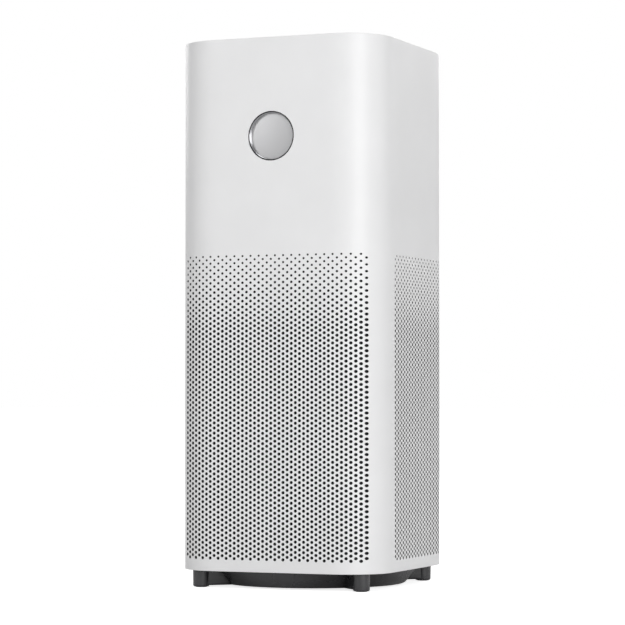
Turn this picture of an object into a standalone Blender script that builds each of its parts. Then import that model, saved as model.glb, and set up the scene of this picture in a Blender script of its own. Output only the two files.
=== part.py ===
"""Tower air purifier: a rounded-square white sleeve over a filter chamber, with a fan above it and a dark dished base.

Metres, +Z up. The front, with the round display, faces -Y; the filter door is at the back, +Y. The origin is on the
floor under the middle of the housing.
"""

import math

import bmesh
import bpy

# Housing
HOUSING_SIDE = 0.300
HOUSING_HEIGHT = 0.719
GROUND_CLEARANCE = 0.024
CORNER_EXTENT = 0.070
CORNER_POWER = 2.3
CORNER_STEPS = 8
ROUND_STEPS = 32
FOOT_STEPS = 16
SHELL_WALL = 0.0025

# Clearances
SEAT = 0.0003
SLIP = 0.0005
DOOR_GAP = 0.0008

# Base
BASE_PLATE = 0.003
BASE_RECESS = 0.0008
DISH_RIM_INSET = 0.0045
DISH_FLARE = 0.0195
DISH_GROUND_GAP = 0.002
DISH_WALL = 0.0025
RIB_WIDTH = 0.018
FOOT_INSET = 0.0325
FOOT_RADIUS = 0.011
FOOT_ROUNDING = 0.003
PAD_RADIUS = 0.0075
PAD_THICKNESS = 0.0012
STANDOFF_RADIUS = 0.004
STANDOFF_HEIGHT = 0.006

# Inner frame
BASE_BAY_HEIGHT = 0.0275
FLOOR_PLATE = 0.003
CHAMBER_HEIGHT = 0.3925
DECK_PLATE = 0.004
POST_SIDE = 0.012
POST_INSET_X = 0.023
POST_INSET_Y = 0.038
SKIRT_INSET = 0.018
SKIRT_WALL = 0.002

# Rear door, latch and hooks
DOOR_EDGE_INSET = 0.024
DOOR_SILL = 0.030
DOOR_OVERLAP = 0.0348
HINGE_HEIGHT = 0.0013
HOOK_WIDTH = 0.015
HOOK_SPACING = 0.135
HOOK_DEPTH = 0.0035
HOOK_DROP = 0.0078
LATCH_WIDTH = 0.055
LATCH_HEIGHT = 0.0137
LATCH_THICKNESS = 0.003
LATCH_TRAVEL = 0.004
LATCH_FINGER_ROOM = 0.003
POCKET_FLOOR_DROP = 0.004
POCKET_DEPTH = 0.009
POCKET_WALL = 0.0015

# Filter
FILTER_SIDE_CLEARANCE = 0.021
FILTER_BORE = 0.072
CAP_PLATE = 0.003
CAP_RIM = 0.010
CAP_RIM_WALL = 0.0015
NET_WALL = 0.0015
SEAL_HEIGHT = 0.006
SEAL_WIDTH = 0.013

# Fan
HOUSING_SIDE_GAP = 0.0115
NECK_INSET = 0.0115
INLET_FLARE = 0.0165
FAN_WALL = 0.0025
FAN_BOWL_HEIGHT = 0.097
FAN_NECK_HEIGHT = 0.030
IMPELLER_GAP = 0.0285
IMPELLER_LIFT = 0.015
IMPELLER_HEIGHT = 0.046
SHROUD_RISE = 0.006
SHROUD_WALL = 0.002
BACK_PLATE = 0.0025
BLADE_COUNT = 9
BLADE_WALL = 0.0018
BLADE_SWEEP = 50
EYE_MARGIN = 0.0265
SHAFT_RADIUS = 0.004
MOTOR_RADIUS = 0.034
MOTOR_HEIGHT = 0.034
MOTOR_WALL = 0.0018
MOUNT_RADIUS = 0.0455
MOUNT_PLATE = 0.0037
BEARING_RADIUS = 0.008
BEARING_LENGTH = 0.005
VANE_COUNT = 9
VANE_HEIGHT = 0.026
VANE_TILT = 24
BELL_RISE = 0.016

# Top
DECK_DROP = 0.0015
TOP_PLATE = 0.003
OUTLET_INSET = 0.005
GRILLE_RISE = 0.0008
GRILLE_DEPTH = 0.008
GRILLE_RIM = 0.0022
GRILLE_BAR = 0.0018
GRILLE_PITCH = 0.0095
GRILLE_HUB = 0.018
GRILLE_SPOKES = 3
LEDGE_WIDTH = 0.012
POWER_BUTTON_RADIUS = 0.006
POWER_SPRING_LENGTH = 0.0071
BUTTON_FLANGE = 0.0015

# Display
DISPLAY_DROP = 0.1334
RING_RADIUS = 0.0332
RING_LIP = 0.0005
WELL_RADIUS = 0.0305
WELL_DEPTH = 0.0055
RING_FLANGE = 0.0037

# Back fittings
BACK_DROP = 0.100
SENSOR_OFFSET = 0.048
COVER_WIDTH = 0.044
COVER_HEIGHT = 0.052
COVER_WALL = 0.0025
COVER_PIN_RADIUS = 0.0007
COVER_PIN_LENGTH = 0.0018
BRIGHTNESS_DROP = 0.045
BRIGHTNESS_RADIUS = 0.0045
BRIGHTNESS_STEM = 0.0050
BRIGHTNESS_TRAVEL = 0.0008
SWITCH_HEIGHT = 0.0011
SLOT_COUNT = 4
SLOT_PITCH = 0.006
SLOT_WIDTH = 0.022
SLOT_HEIGHT = 0.0025
INLET_WIDTH = 0.025
INLET_HEIGHT = 0.0155
INLET_LENGTH = 0.024
SOCKET_LOBE = 0.0046
SOCKET_SPREAD = 0.0043
SOCKET_WAIST = 0.0068
SOCKET_DEPTH = 0.014
SOCKET_PIN_RADIUS = 0.0012
BOARD_THICKNESS = 0.0016
LOOM_RADIUS = 0.003
LOOM_INSET_X = 0.031
LOOM_INSET_Y = 0.021

# Places worked out from the sizes above
HALF = HOUSING_SIDE / 2
INNER = HALF - SHELL_WALL
FITTED_INSET = SHELL_WALL + SEAT
SHELL_TOP = GROUND_CLEARANCE + HOUSING_HEIGHT
BASE_BOTTOM = GROUND_CLEARANCE + BASE_RECESS
BASE_TOP = BASE_BOTTOM + BASE_PLATE
DISH_TOP_RADIUS = HALF - DISH_RIM_INSET
DISH_RADIUS = DISH_TOP_RADIUS - DISH_FLARE
FOOT_PLACE = HALF - FOOT_INSET
CHAMBER_FLOOR = GROUND_CLEARANCE + BASE_BAY_HEIGHT
CHAMBER_TOP = CHAMBER_FLOOR + CHAMBER_HEIGHT
DECK_TOP = CHAMBER_TOP + DECK_PLATE
DOOR_HALF = HALF - DOOR_EDGE_INSET
DOOR_OPENING_BOTTOM = GROUND_CLEARANCE + DOOR_SILL
DOOR_OPENING_TOP = CHAMBER_TOP + DOOR_OVERLAP
DOOR_BOTTOM = DOOR_OPENING_BOTTOM + DOOR_GAP
DOOR_TOP = DOOR_OPENING_TOP - DOOR_GAP
HINGE_Y = HALF - SHELL_WALL / 2
HINGE_Z = DOOR_BOTTOM + HINGE_HEIGHT
LATCH_TOP = DOOR_TOP - SLIP - SEAT
LATCH_BOTTOM = LATCH_TOP - LATCH_HEIGHT
NOTCH_BOTTOM = LATCH_BOTTOM - LATCH_TRAVEL - LATCH_FINGER_ROOM
FILTER_RADIUS = DOOR_HALF - FILTER_SIDE_CLEARANCE
FILTER_BOTTOM = CHAMBER_FLOOR + SEAT
FILTER_TOP = CHAMBER_TOP - 2 * SEAT - SEAL_HEIGHT
MEDIA_RADIUS = FILTER_RADIUS - CAP_RIM_WALL - SEAT - NET_WALL - SEAT
FAN_RADIUS = INNER - HOUSING_SIDE_GAP
FAN_BOWL_TOP = DECK_TOP + FAN_BOWL_HEIGHT
FAN_NECK_TOP = FAN_BOWL_TOP + FAN_NECK_HEIGHT
TOP_SURFACE = SHELL_TOP - DECK_DROP
TOP_UNDERSIDE = TOP_SURFACE - TOP_PLATE
DUCT_RADIUS = FAN_RADIUS - NECK_INSET
OUTLET_RADIUS = DUCT_RADIUS - FAN_WALL - OUTLET_INSET
IMPELLER_RADIUS = FAN_RADIUS - FAN_WALL - IMPELLER_GAP
EYE_RADIUS = IMPELLER_RADIUS - EYE_MARGIN
INLET_HOLE = EYE_RADIUS + INLET_FLARE
IMPELLER_BOTTOM = DECK_TOP + IMPELLER_LIFT
IMPELLER_TOP = IMPELLER_BOTTOM + IMPELLER_HEIGHT
MOTOR_BOTTOM = IMPELLER_TOP + SEAT
MOTOR_TOP = MOTOR_BOTTOM + MOTOR_HEIGHT
MOUNT_BOTTOM = MOTOR_TOP + 0.006
MOUNT_TOP = MOUNT_BOTTOM + MOUNT_PLATE
DISPLAY_Z = SHELL_TOP - DISPLAY_DROP
BACK_Z = SHELL_TOP - BACK_DROP
BRIGHTNESS_Z = SHELL_TOP - BRIGHTNESS_DROP
BUTTON_Y = -(INNER + OUTLET_RADIUS) / 2
COVER_TURN = COVER_WALL / 2
COVER_AXIS_Y = HALF - COVER_TURN
COVER_AXIS_Z = BACK_Z - COVER_HEIGHT / 2 + COVER_TURN
INLET_Z = (BASE_TOP + CHAMBER_FLOOR - FLOOR_PLATE) / 2
LOOM_PLACE = (-(HALF - LOOM_INSET_X), -(HALF - LOOM_INSET_Y))

QUARTER = math.radians(90)
CORNERS = {"front_left": (-1, -1), "front_right": (1, -1), "rear_left": (-1, 1), "rear_right": (1, 1)}

# Finishes: colour, roughness, metallic
FINISHES = {
    "white_plastic": ((0.86, 0.86, 0.86), 0.45, 0.0),
    "dark_plastic": ((0.045, 0.045, 0.048), 0.35, 0.0),
    "grey_plastic": ((0.22, 0.22, 0.23), 0.5, 0.0),
    "rubber": ((0.02, 0.02, 0.02), 0.8, 0.0),
    "chrome": ((0.75, 0.75, 0.76), 0.08, 1.0),
    "satin_silver": ((0.62, 0.62, 0.63), 0.32, 1.0),
    "steel": ((0.55, 0.55, 0.56), 0.3, 1.0),
    "circuit_board": ((0.02, 0.16, 0.07), 0.45, 0.0),
    "filter_paper": ((0.80, 0.79, 0.76), 0.9, 0.0),
    "filter_plastic": ((0.30, 0.31, 0.34), 0.55, 0.0),
    "foam": ((0.06, 0.06, 0.06), 0.95, 0.0),
    "copper": ((0.55, 0.25, 0.12), 0.35, 1.0),
    "wire_sheath": ((0.03, 0.03, 0.03), 0.5, 0.0),
}


def clear_scene():
    for old in list(bpy.data.objects):
        bpy.data.objects.remove(old, do_unlink=True)


def new_collection(name):
    collection = bpy.data.collections.new(name)
    bpy.context.scene.collection.children.link(collection)
    return collection


def paint(obj, finish):
    """Gives the object its own Principled material with the named finish."""
    colour, roughness, metallic = FINISHES[finish]
    material = bpy.data.materials.new(obj.name + "_" + finish)
    material.use_nodes = True
    shader = material.node_tree.nodes["Principled BSDF"]
    shader.inputs["Base Color"].default_value = (*colour, 1)
    shader.inputs["Roughness"].default_value = roughness
    shader.inputs["Metallic"].default_value = metallic
    obj.data.materials.append(material)


def place(name, data, finish, location=(0, 0, 0)):
    """A part with a finish, or a helper, hidden from the build, when finish is None."""
    obj = bpy.data.objects.new(name, data)
    obj.location = location
    if finish:
        parts.objects.link(obj)
        paint(obj, finish)
    else:
        cutters.objects.link(obj)
        obj.hide_render = True
        obj.display_type = "WIRE"
    return obj


def box(name, size, centre, finish=None):
    bm = bmesh.new()
    bmesh.ops.create_cube(bm, size=1)
    bmesh.ops.scale(bm, vec=size, verts=bm.verts)
    mesh = bpy.data.meshes.new(name)
    bm.to_mesh(mesh)
    bm.free()
    return place(name, mesh, finish, centre)


def span_box(name, low, high, finish=None):
    """A box given by its lowest and highest corners."""
    size = [b - a for a, b in zip(low, high)]
    centre = [(a + b) / 2 for a, b in zip(low, high)]
    return box(name, size, centre, finish)


def rod(name, radius, length, centre, finish=None, sides=16, axis="Z"):
    """A cylinder centred on a point, along Z or, turned, along X or Y."""
    bm = bmesh.new()
    bmesh.ops.create_cone(bm, cap_ends=True, segments=sides, radius1=radius, radius2=radius, depth=length)
    mesh = bpy.data.meshes.new(name)
    bm.to_mesh(mesh)
    bm.free()
    mesh.shade_smooth()
    mesh.set_sharp_from_angle(angle=math.radians(35))
    obj = place(name, mesh, finish, centre)
    if axis == "X":
        obj.rotation_euler = (0, QUARTER, 0)
    if axis == "Y":
        obj.rotation_euler = (QUARTER, 0, 0)
    return obj


def turned(name, profile, finish=None, steps=32, ring=False, location=(0, 0, 0)):
    """A profile of (radius, height) points, listed down the outer side, spun about Z. A ring's profile is closed."""
    mesh = bpy.data.meshes.new(name)
    edges = [(i, i + 1) for i in range(len(profile) - 1)]
    if ring:
        edges.append((len(profile) - 1, 0))
    mesh.from_pydata([(r, 0, z) for r, z in profile], edges, [])
    obj = place(name, mesh, finish, location)
    screw = obj.modifiers.new("Turn", "SCREW")
    screw.steps = steps
    screw.render_steps = steps
    screw.use_merge_vertices = True
    screw.merge_threshold = 0.00001
    return obj


def ring_profile(inner, outer, bottom, top):
    return [(outer, top), (outer, bottom), (inner, bottom), (inner, top)]


def outline_curve(name, outlines, thickness, fill, cyclic=True):
    """A flat curve of one or more outlines, as thick as given; an outline inside another is a hole in it."""
    curve = bpy.data.curves.new(name, "CURVE")
    curve.dimensions = "2D"
    curve.fill_mode = fill
    curve.extrude = thickness / 2
    for outline in outlines:
        spline = curve.splines.new("POLY")
        spline.points.add(len(outline) - 1)
        for point, (x, y) in zip(spline.points, outline):
            point.co = (x, y, 0, 1)
        spline.use_cyclic_u = cyclic
    return curve


def welded_mesh(name, curve):
    """The curve's evaluated mesh with its caps joined to its sides."""
    guide = bpy.data.objects.new(name + "_curve", curve)
    cutters.objects.link(guide)
    graph = bpy.context.evaluated_depsgraph_get()
    mesh = bpy.data.meshes.new_from_object(guide.evaluated_get(graph))
    bpy.data.objects.remove(guide, do_unlink=True)
    bm = bmesh.new()
    bm.from_mesh(mesh)
    bmesh.ops.remove_doubles(bm, verts=bm.verts, dist=0.000005)
    bmesh.ops.recalc_face_normals(bm, faces=bm.faces)
    bm.to_mesh(mesh)
    bm.free()
    mesh.materials.clear()
    return mesh


def plate(name, outlines, bottom, top, finish=None):
    """A flat piece with the given outlines, lying between two heights."""
    mesh = welded_mesh(name, outline_curve(name, outlines, top - bottom, "BOTH"))
    return place(name, mesh, finish, (0, 0, (bottom + top) / 2))


def upright_wall(name, outline, bottom, top, thickness, finish=None, cyclic=True):
    """A wall that stands on an outline and is thickened towards the inside."""
    mesh = welded_mesh(name, outline_curve(name, [outline], top - bottom, "NONE", cyclic))
    obj = place(name, mesh, finish, (0, 0, (bottom + top) / 2))
    outward = sum(p.normal.dot(p.center) * p.area for p in mesh.polygons)
    solid = obj.modifiers.new("Wall", "SOLIDIFY")
    solid.thickness = thickness
    solid.offset = -1 if outward > 0 else 1
    solid.use_even_offset = True
    return obj


def combine(target, other, operation):
    other.hide_render = True
    modifier = target.modifiers.new(other.name, "BOOLEAN")
    modifier.operation = operation
    modifier.object = other


def cut(target, other):
    combine(target, other, "DIFFERENCE")


def join(target, other):
    combine(target, other, "UNION")


def circle(radius, centre=(0, 0), sides=32):
    turns = [2 * math.pi * step / sides for step in range(sides)]
    return [(centre[0] + radius * math.cos(a), centre[1] + radius * math.sin(a)) for a in turns]


def corner_point(angle, inset):
    """A point of the corner between the right and rear sides, a superellipse quarter, moved in by the inset."""
    extent = CORNER_EXTENT - inset
    start = HALF - CORNER_EXTENT
    x = start + extent * max(math.cos(angle), 0) ** (2 / CORNER_POWER)
    y = start + extent * max(math.sin(angle), 0) ** (2 / CORNER_POWER)
    return x, y


def rounded_square(inset):
    """The housing's outline in plan, anticlockwise, moved in by the inset."""
    quarter = [corner_point(QUARTER * step / CORNER_STEPS, inset) for step in range(CORNER_STEPS + 1)]
    outline = list(quarter)
    for _ in range(3):
        quarter = [(-y, x) for x, y in quarter]
        outline += quarter
    return outline


def side_offset(across, inset=0.0):
    """How far from the middle a side lies, at a distance across it, on the housing's outline."""
    start = HALF - CORNER_EXTENT
    extent = CORNER_EXTENT - inset
    share = min(max((abs(across) - start) / extent, 0), 1)
    return start + extent * (1 - share**CORNER_POWER) ** (1 / CORNER_POWER)


def rear_line(half_width):
    """The rear side's outline between two lines at the half width, from right to left."""
    right = [(half_width, side_offset(half_width))]
    right += [p for p in rounded_square(0)[: CORNER_STEPS + 1] if p[0] < half_width - 0.002]
    return right + [(-x, y) for x, y in reversed(right)]


def make_outer_shell():
    shell = upright_wall(
        "outer_shell", rounded_square(0), GROUND_CLEARANCE, SHELL_TOP, SHELL_WALL, "white_plastic"
    )
    cut(shell, span_box(
        "cut_door_opening",
        (-DOOR_HALF, INNER - CORNER_EXTENT / 2, DOOR_OPENING_BOTTOM),
        (DOOR_HALF, HALF + SHELL_WALL, DOOR_OPENING_TOP),
    ))
    display_spot = (0, -HALF, DISPLAY_Z)
    cut(shell, rod("cut_display", RING_RADIUS + SEAT, 4 * SHELL_WALL, display_spot, None, ROUND_STEPS, "Y"))
    inlet_size = (INLET_WIDTH + 2 * SEAT, 4 * SHELL_WALL, INLET_HEIGHT + 2 * SEAT)
    cut(shell, box("cut_inlet", inlet_size, (0, HALF, INLET_Z)))
    hole = BRIGHTNESS_RADIUS + SLIP
    cut(shell, rod("cut_brightness", hole, 4 * SHELL_WALL, (0, HALF, BRIGHTNESS_Z), None, 16, "Y"))
    cover_size = (COVER_WIDTH + 2 * SLIP, 4 * SHELL_WALL, COVER_HEIGHT + 2 * SLIP)
    cut(shell, box("cut_sensor_window", cover_size, (-SENSOR_OFFSET, HALF, BACK_Z)))
    pin_hole = rod(
        "cut_cover_pins",
        COVER_PIN_RADIUS + SEAT,
        COVER_WIDTH + 2 * COVER_PIN_LENGTH + 2 * SLIP,
        (-SENSOR_OFFSET, COVER_AXIS_Y, COVER_AXIS_Z),
        None,
        12,
        "X",
    )
    cut(shell, pin_hole)
    for index in range(SLOT_COUNT):
        height = BACK_Z + (index - (SLOT_COUNT - 1) / 2) * SLOT_PITCH
        slot_size = (SLOT_WIDTH, 4 * SHELL_WALL, SLOT_HEIGHT)
        cut(shell, box("cut_slot_%d" % (index + 1), slot_size, (SENSOR_OFFSET, HALF, height)))


def make_base():
    """Base plate with the dish hanging below it, four ribs out to the feet and standoffs for the power board."""
    hole = DISH_TOP_RADIUS - DISH_WALL / 2
    outlines = [rounded_square(FITTED_INSET), circle(hole, sides=ROUND_STEPS)]
    pan = plate("base_pan", outlines, BASE_BOTTOM, BASE_TOP, "dark_plastic")
    inner = DISH_RADIUS - DISH_WALL
    floor = DISH_GROUND_GAP + DISH_WALL
    rim = BASE_TOP - 0.0005
    dish = turned("dish", [
        (0, floor),
        (inner, floor),
        (DISH_TOP_RADIUS - DISH_WALL, rim),
        (DISH_TOP_RADIUS, rim),
        (DISH_TOP_RADIUS, BASE_BOTTOM + BASE_PLATE / 2),
        (DISH_RADIUS, DISH_GROUND_GAP),
        (0, DISH_GROUND_GAP),
    ], steps=ROUND_STEPS)
    join(pan, dish)
    rib_start = inner + DISH_WALL / 2
    rib_length = FOOT_PLACE * math.sqrt(2) - rib_start
    rib_bottom = DISH_GROUND_GAP + 0.0002
    for corner, (side_x, side_y) in CORNERS.items():
        middle = (rib_start + rib_length / 2) / math.sqrt(2)
        height = BASE_BOTTOM + BASE_PLATE / 3 - rib_bottom
        rib = box(
            "rib_" + corner,
            (rib_length, RIB_WIDTH, height),
            (side_x * middle, side_y * middle, rib_bottom + height / 2),
        )
        rib.rotation_euler = (0, 0, math.atan2(side_y, side_x))
        join(pan, rib)
        socket = rod(
            "socket_" + corner,
            FOOT_RADIUS + SEAT,
            2 * (BASE_BOTTOM + SEAT),
            (side_x * FOOT_PLACE, side_y * FOOT_PLACE, 0),
            sides=FOOT_STEPS,
        )
        cut(pan, socket)
        make_foot(corner, (side_x * FOOT_PLACE, side_y * FOOT_PLACE), BASE_BOTTOM)
    for side_x in (-1, 1):
        for side_y in (-1, 1):
            standoff = rod(
                "standoff_%d_%d" % (side_x, side_y),
                STANDOFF_RADIUS,
                STANDOFF_HEIGHT + DISH_WALL / 2,
                (side_x * 0.052, side_y * 0.034, floor + STANDOFF_HEIGHT / 2 - DISH_WALL / 4),
                sides=10,
            )
            join(pan, standoff)


def make_foot(corner, centre, top):
    """A round foot with a rounded lower edge and a shallow seat for its pad."""
    seat = PAD_THICKNESS + SEAT
    rim = PAD_THICKNESS / 2
    arc = []
    for step in range(4):
        angle = QUARTER * step / 3
        across = FOOT_RADIUS - FOOT_ROUNDING * (1 - math.cos(angle))
        arc.append((across, rim + FOOT_ROUNDING * (1 - math.sin(angle))))
    pad_hole = PAD_RADIUS + SEAT
    arc[-1] = (pad_hole + 0.0004, rim)
    profile = [(0, top), (FOOT_RADIUS, top)] + arc + [(pad_hole, rim), (pad_hole, seat), (0, seat)]
    turned("foot_" + corner, profile, "dark_plastic", FOOT_STEPS, location=(*centre, 0))
    rod("foot_pad_" + corner, PAD_RADIUS, PAD_THICKNESS, (*centre, PAD_THICKNESS / 2), "rubber", FOOT_STEPS)


def make_inner_frame():
    """Chamber floor on a skirt, four posts and the fan deck."""
    loom_hole = circle(LOOM_RADIUS + 4 * SEAT, LOOM_PLACE, 10)
    bottom = CHAMBER_FLOOR - FLOOR_PLATE
    outlines = [rounded_square(FITTED_INSET), loom_hole]
    floor = plate("chamber_floor", outlines, bottom, CHAMBER_FLOOR, "dark_plastic")
    skirt = upright_wall(
        "skirt", rounded_square(SKIRT_INSET), BASE_TOP + SEAT, bottom + FLOOR_PLATE / 2, SKIRT_WALL
    )
    join(floor, skirt)
    cut(floor, span_box(
        "cut_inlet_bay",
        (-INLET_WIDTH / 2 - 0.002, HALF - INLET_LENGTH - 0.010, BASE_BOTTOM),
        (INLET_WIDTH / 2 + 0.002, HALF, bottom - SEAT),
    ))
    for side in (-1, 1):
        cut(floor, box(
            "cut_hook_bay_%d" % side,
            (HOOK_WIDTH + 0.004, 0.010, 4 * FLOOR_PLATE),
            (side * HOOK_SPACING / 2, INNER - 0.005, CHAMBER_FLOOR),
        ))
    post_bottom = BASE_TOP + SEAT
    post_top = CHAMBER_TOP - SEAT
    for corner, (side_x, side_y) in CORNERS.items():
        place_x = side_x * (HALF - POST_INSET_X)
        place_y = side_y * (HALF - POST_INSET_Y)
        hole = POST_SIDE + 2 * SEAT
        middle = (post_bottom + bottom) / 2
        cut(floor, box("post_hole_" + corner, (hole, hole, 0.06), (place_x, place_y, middle)))
        box(
            "post_" + corner,
            (POST_SIDE, POST_SIDE, post_top - post_bottom),
            (place_x, place_y, (post_top + post_bottom) / 2),
            "dark_plastic",
        )
    plate(
        "fan_deck",
        [rounded_square(FITTED_INSET), circle(INLET_HOLE, sides=32), loom_hole],
        CHAMBER_TOP,
        DECK_TOP,
        "dark_plastic",
    )


def make_filter():
    """Cartridge: pleated paper between two caps, a net sleeve round it, a foam seal on top and a pull grip."""
    bottom_top = FILTER_BOTTOM + CAP_PLATE
    top_bottom = FILTER_TOP - CAP_PLATE
    rim_inner = FILTER_RADIUS - CAP_RIM_WALL
    turned("filter_cap_bottom", [
        (0, bottom_top),
        (rim_inner, bottom_top),
        (rim_inner, bottom_top + CAP_RIM),
        (FILTER_RADIUS, bottom_top + CAP_RIM),
        (FILTER_RADIUS, FILTER_BOTTOM),
        (0, FILTER_BOTTOM),
    ], "filter_plastic", ROUND_STEPS)
    turned("filter_cap_top", [
        (FILTER_RADIUS, FILTER_TOP),
        (FILTER_RADIUS, top_bottom - CAP_RIM),
        (rim_inner, top_bottom - CAP_RIM),
        (rim_inner, top_bottom),
        (FILTER_BORE, top_bottom),
        (FILTER_BORE, FILTER_TOP),
    ], "filter_plastic", ROUND_STEPS, ring=True)
    low = bottom_top + SEAT
    high = top_bottom - SEAT
    media = ring_profile(FILTER_BORE, MEDIA_RADIUS, low, high)
    turned("filter_media", media, "filter_paper", ROUND_STEPS, ring=True)
    net_inner = MEDIA_RADIUS + SEAT
    net = ring_profile(net_inner, net_inner + NET_WALL, low, high)
    turned("filter_net", net, "filter_plastic", ROUND_STEPS, ring=True)
    seal_inner = FILTER_BORE + 0.003
    seal = ring_profile(seal_inner, seal_inner + SEAL_WIDTH, FILTER_TOP + SEAT, FILTER_TOP + SEAT + SEAL_HEIGHT)
    turned("filter_seal", seal, "foam", 32, ring=True)
    make_filter_handle(net_inner + NET_WALL + SEAT)


def make_filter_handle(start):
    """A bridge-shaped pull grip whose two feet lie against the net, outlined in side view and extruded across."""
    reach = 0.016
    half_height = 0.048
    wall = 0.0025
    outer = [(0, -half_height), (0.004, -half_height), (reach, -half_height + 0.018)]
    outer += [(x, -y) for x, y in reversed(outer)]
    inner = [(0, half_height - wall * 4), (reach - wall, half_height - 0.022)]
    inner += [(x, -y) for x, y in reversed(inner)]
    handle = plate("filter_handle", [outer + inner], -0.009, 0.009, "grey_plastic")
    handle.rotation_euler = (QUARTER, 0, QUARTER)
    handle.location = (0, start + 0.0002, (FILTER_BOTTOM + FILTER_TOP) / 2)


def make_air_path():
    """Bellmouth, fan housing and the diffuser with its bell over the motor."""
    throat = EYE_RADIUS - 0.002
    lip = IMPELLER_BOTTOM - 0.0015
    wall = 0.0018
    mouth = INLET_HOLE - SLIP
    turned("inlet_ring", [
        (mouth + 0.009, DECK_TOP + SEAT + 0.002),
        (mouth + 0.009, DECK_TOP + SEAT),
        (mouth, DECK_TOP + SEAT),
        (mouth, CHAMBER_TOP + SLIP),
        (mouth - wall, CHAMBER_TOP + SLIP),
        (throat + 0.0025, DECK_TOP + 0.004),
        (throat, lip),
        (throat + wall, lip),
        (throat + 0.0048, DECK_TOP + 0.0065),
        (mouth - 0.003, DECK_TOP + SEAT + 0.002),
    ], "white_plastic", 32, ring=True)
    inner = FAN_RADIUS - FAN_WALL
    duct_inner = DUCT_RADIUS - FAN_WALL
    top = TOP_UNDERSIDE - SEAT
    ledge = TOP_SURFACE - GRILLE_DEPTH - GRILLE_RISE - SEAT
    turned("fan_housing", [
        (DUCT_RADIUS, top),
        (DUCT_RADIUS, FAN_NECK_TOP),
        (FAN_RADIUS, FAN_BOWL_TOP),
        (FAN_RADIUS, DECK_TOP + SEAT),
        (inner, DECK_TOP + SEAT),
        (inner, FAN_BOWL_TOP),
        (duct_inner, FAN_NECK_TOP),
        (duct_inner, ledge - FAN_WALL),
        (duct_inner - LEDGE_WIDTH, ledge - FAN_WALL),
        (duct_inner - LEDGE_WIDTH, ledge),
        (duct_inner, ledge),
        (duct_inner, top),
    ], "white_plastic", ROUND_STEPS, ring=True)
    make_diffuser(duct_inner - SEAT)


def make_diffuser(radius):
    """A bell over the motor, held by tilted vanes in an outer ring."""
    bell_bottom = MOUNT_TOP + SEAT
    bell_radius = MOUNT_RADIUS
    wall = 0.002
    ring_bottom = FAN_NECK_TOP + SEAT
    ring_top = ring_bottom + VANE_HEIGHT
    dome = []
    for step in range(5):
        angle = QUARTER * step / 4
        dome.append((math.sin(angle), ring_top + BELL_RISE * math.cos(angle)))
    bell = [(bell_radius * share, height) for share, height in dome] + [(bell_radius, bell_bottom)]
    inside = [((bell_radius - wall) * share, height - wall) for share, height in dome]
    bell += [(bell_radius - wall, bell_bottom)] + inside[::-1]
    diffuser = turned("diffuser", bell, "white_plastic", 24)
    for index in range(VANE_COUNT):
        angle = 2 * math.pi * index / VANE_COUNT
        start = bell_radius - wall / 2
        length = radius - 0.001 - start
        middle = start + length / 2
        vane = box(
            "vane_%d" % (index + 1),
            (length, 0.0018, VANE_HEIGHT - 0.004),
            (middle * math.cos(angle), middle * math.sin(angle), (ring_bottom + ring_top) / 2),
        )
        vane.rotation_euler = (math.radians(VANE_TILT), 0, angle)
        join(diffuser, vane)
    ring = ring_profile(radius - 0.002, radius, ring_bottom, ring_top)
    join(diffuser, turned("diffuser_ring", ring, ring=True, steps=ROUND_STEPS))


def make_motor():
    """Fixed half: mount plate with its bearing tube, two bearings, wound stator and three screws."""
    tube = BEARING_RADIUS + SEAT
    tube_outer = tube + 0.002
    tube_bottom = MOTOR_BOTTOM + 0.007
    turned("motor_mount", [
        (MOUNT_RADIUS, MOUNT_TOP),
        (MOUNT_RADIUS, MOUNT_BOTTOM),
        (tube_outer, MOUNT_BOTTOM),
        (tube_outer, tube_bottom),
        (tube, tube_bottom),
        (tube, MOUNT_TOP),
    ], "steel", 24, ring=True)
    mount = bpy.data.objects["motor_mount"]
    bore = SHAFT_RADIUS + SEAT
    for name, low in (("lower_bearing", tube_bottom), ("upper_bearing", MOUNT_TOP - BEARING_LENGTH)):
        turned(name, ring_profile(bore, BEARING_RADIUS, low, low + BEARING_LENGTH), "steel", 16, ring=True)
    rotor_inner = MOTOR_RADIUS - MOTOR_WALL
    stator = ring_profile(tube_outer + SEAT, rotor_inner - 0.002, tube_bottom + 0.001, MOTOR_TOP - 0.004)
    turned("motor_stator", stator, "copper", 24, ring=True)
    screw_circle = (MOTOR_RADIUS + MOUNT_RADIUS) / 2
    for index in range(3):
        angle = 2 * math.pi * index / 3
        spot = (screw_circle * math.cos(angle), screw_circle * math.sin(angle), 0)
        hole_spot = (spot[0], spot[1], MOUNT_BOTTOM)
        cut(mount, rod("motor_hole_%d" % (index + 1), 0.0018, 0.05, hole_spot, sides=10))
        under = MOUNT_BOTTOM - SEAT
        turned("motor_screw_%d" % (index + 1), [
            (0, MOUNT_TOP + 0.0001),
            (0.0015, MOUNT_TOP + 0.0001),
            (0.0015, under),
            (0.0028, under),
            (0.0024, under - 0.0018),
            (0, under - 0.0018),
        ], "steel", 10, location=spot)


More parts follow.
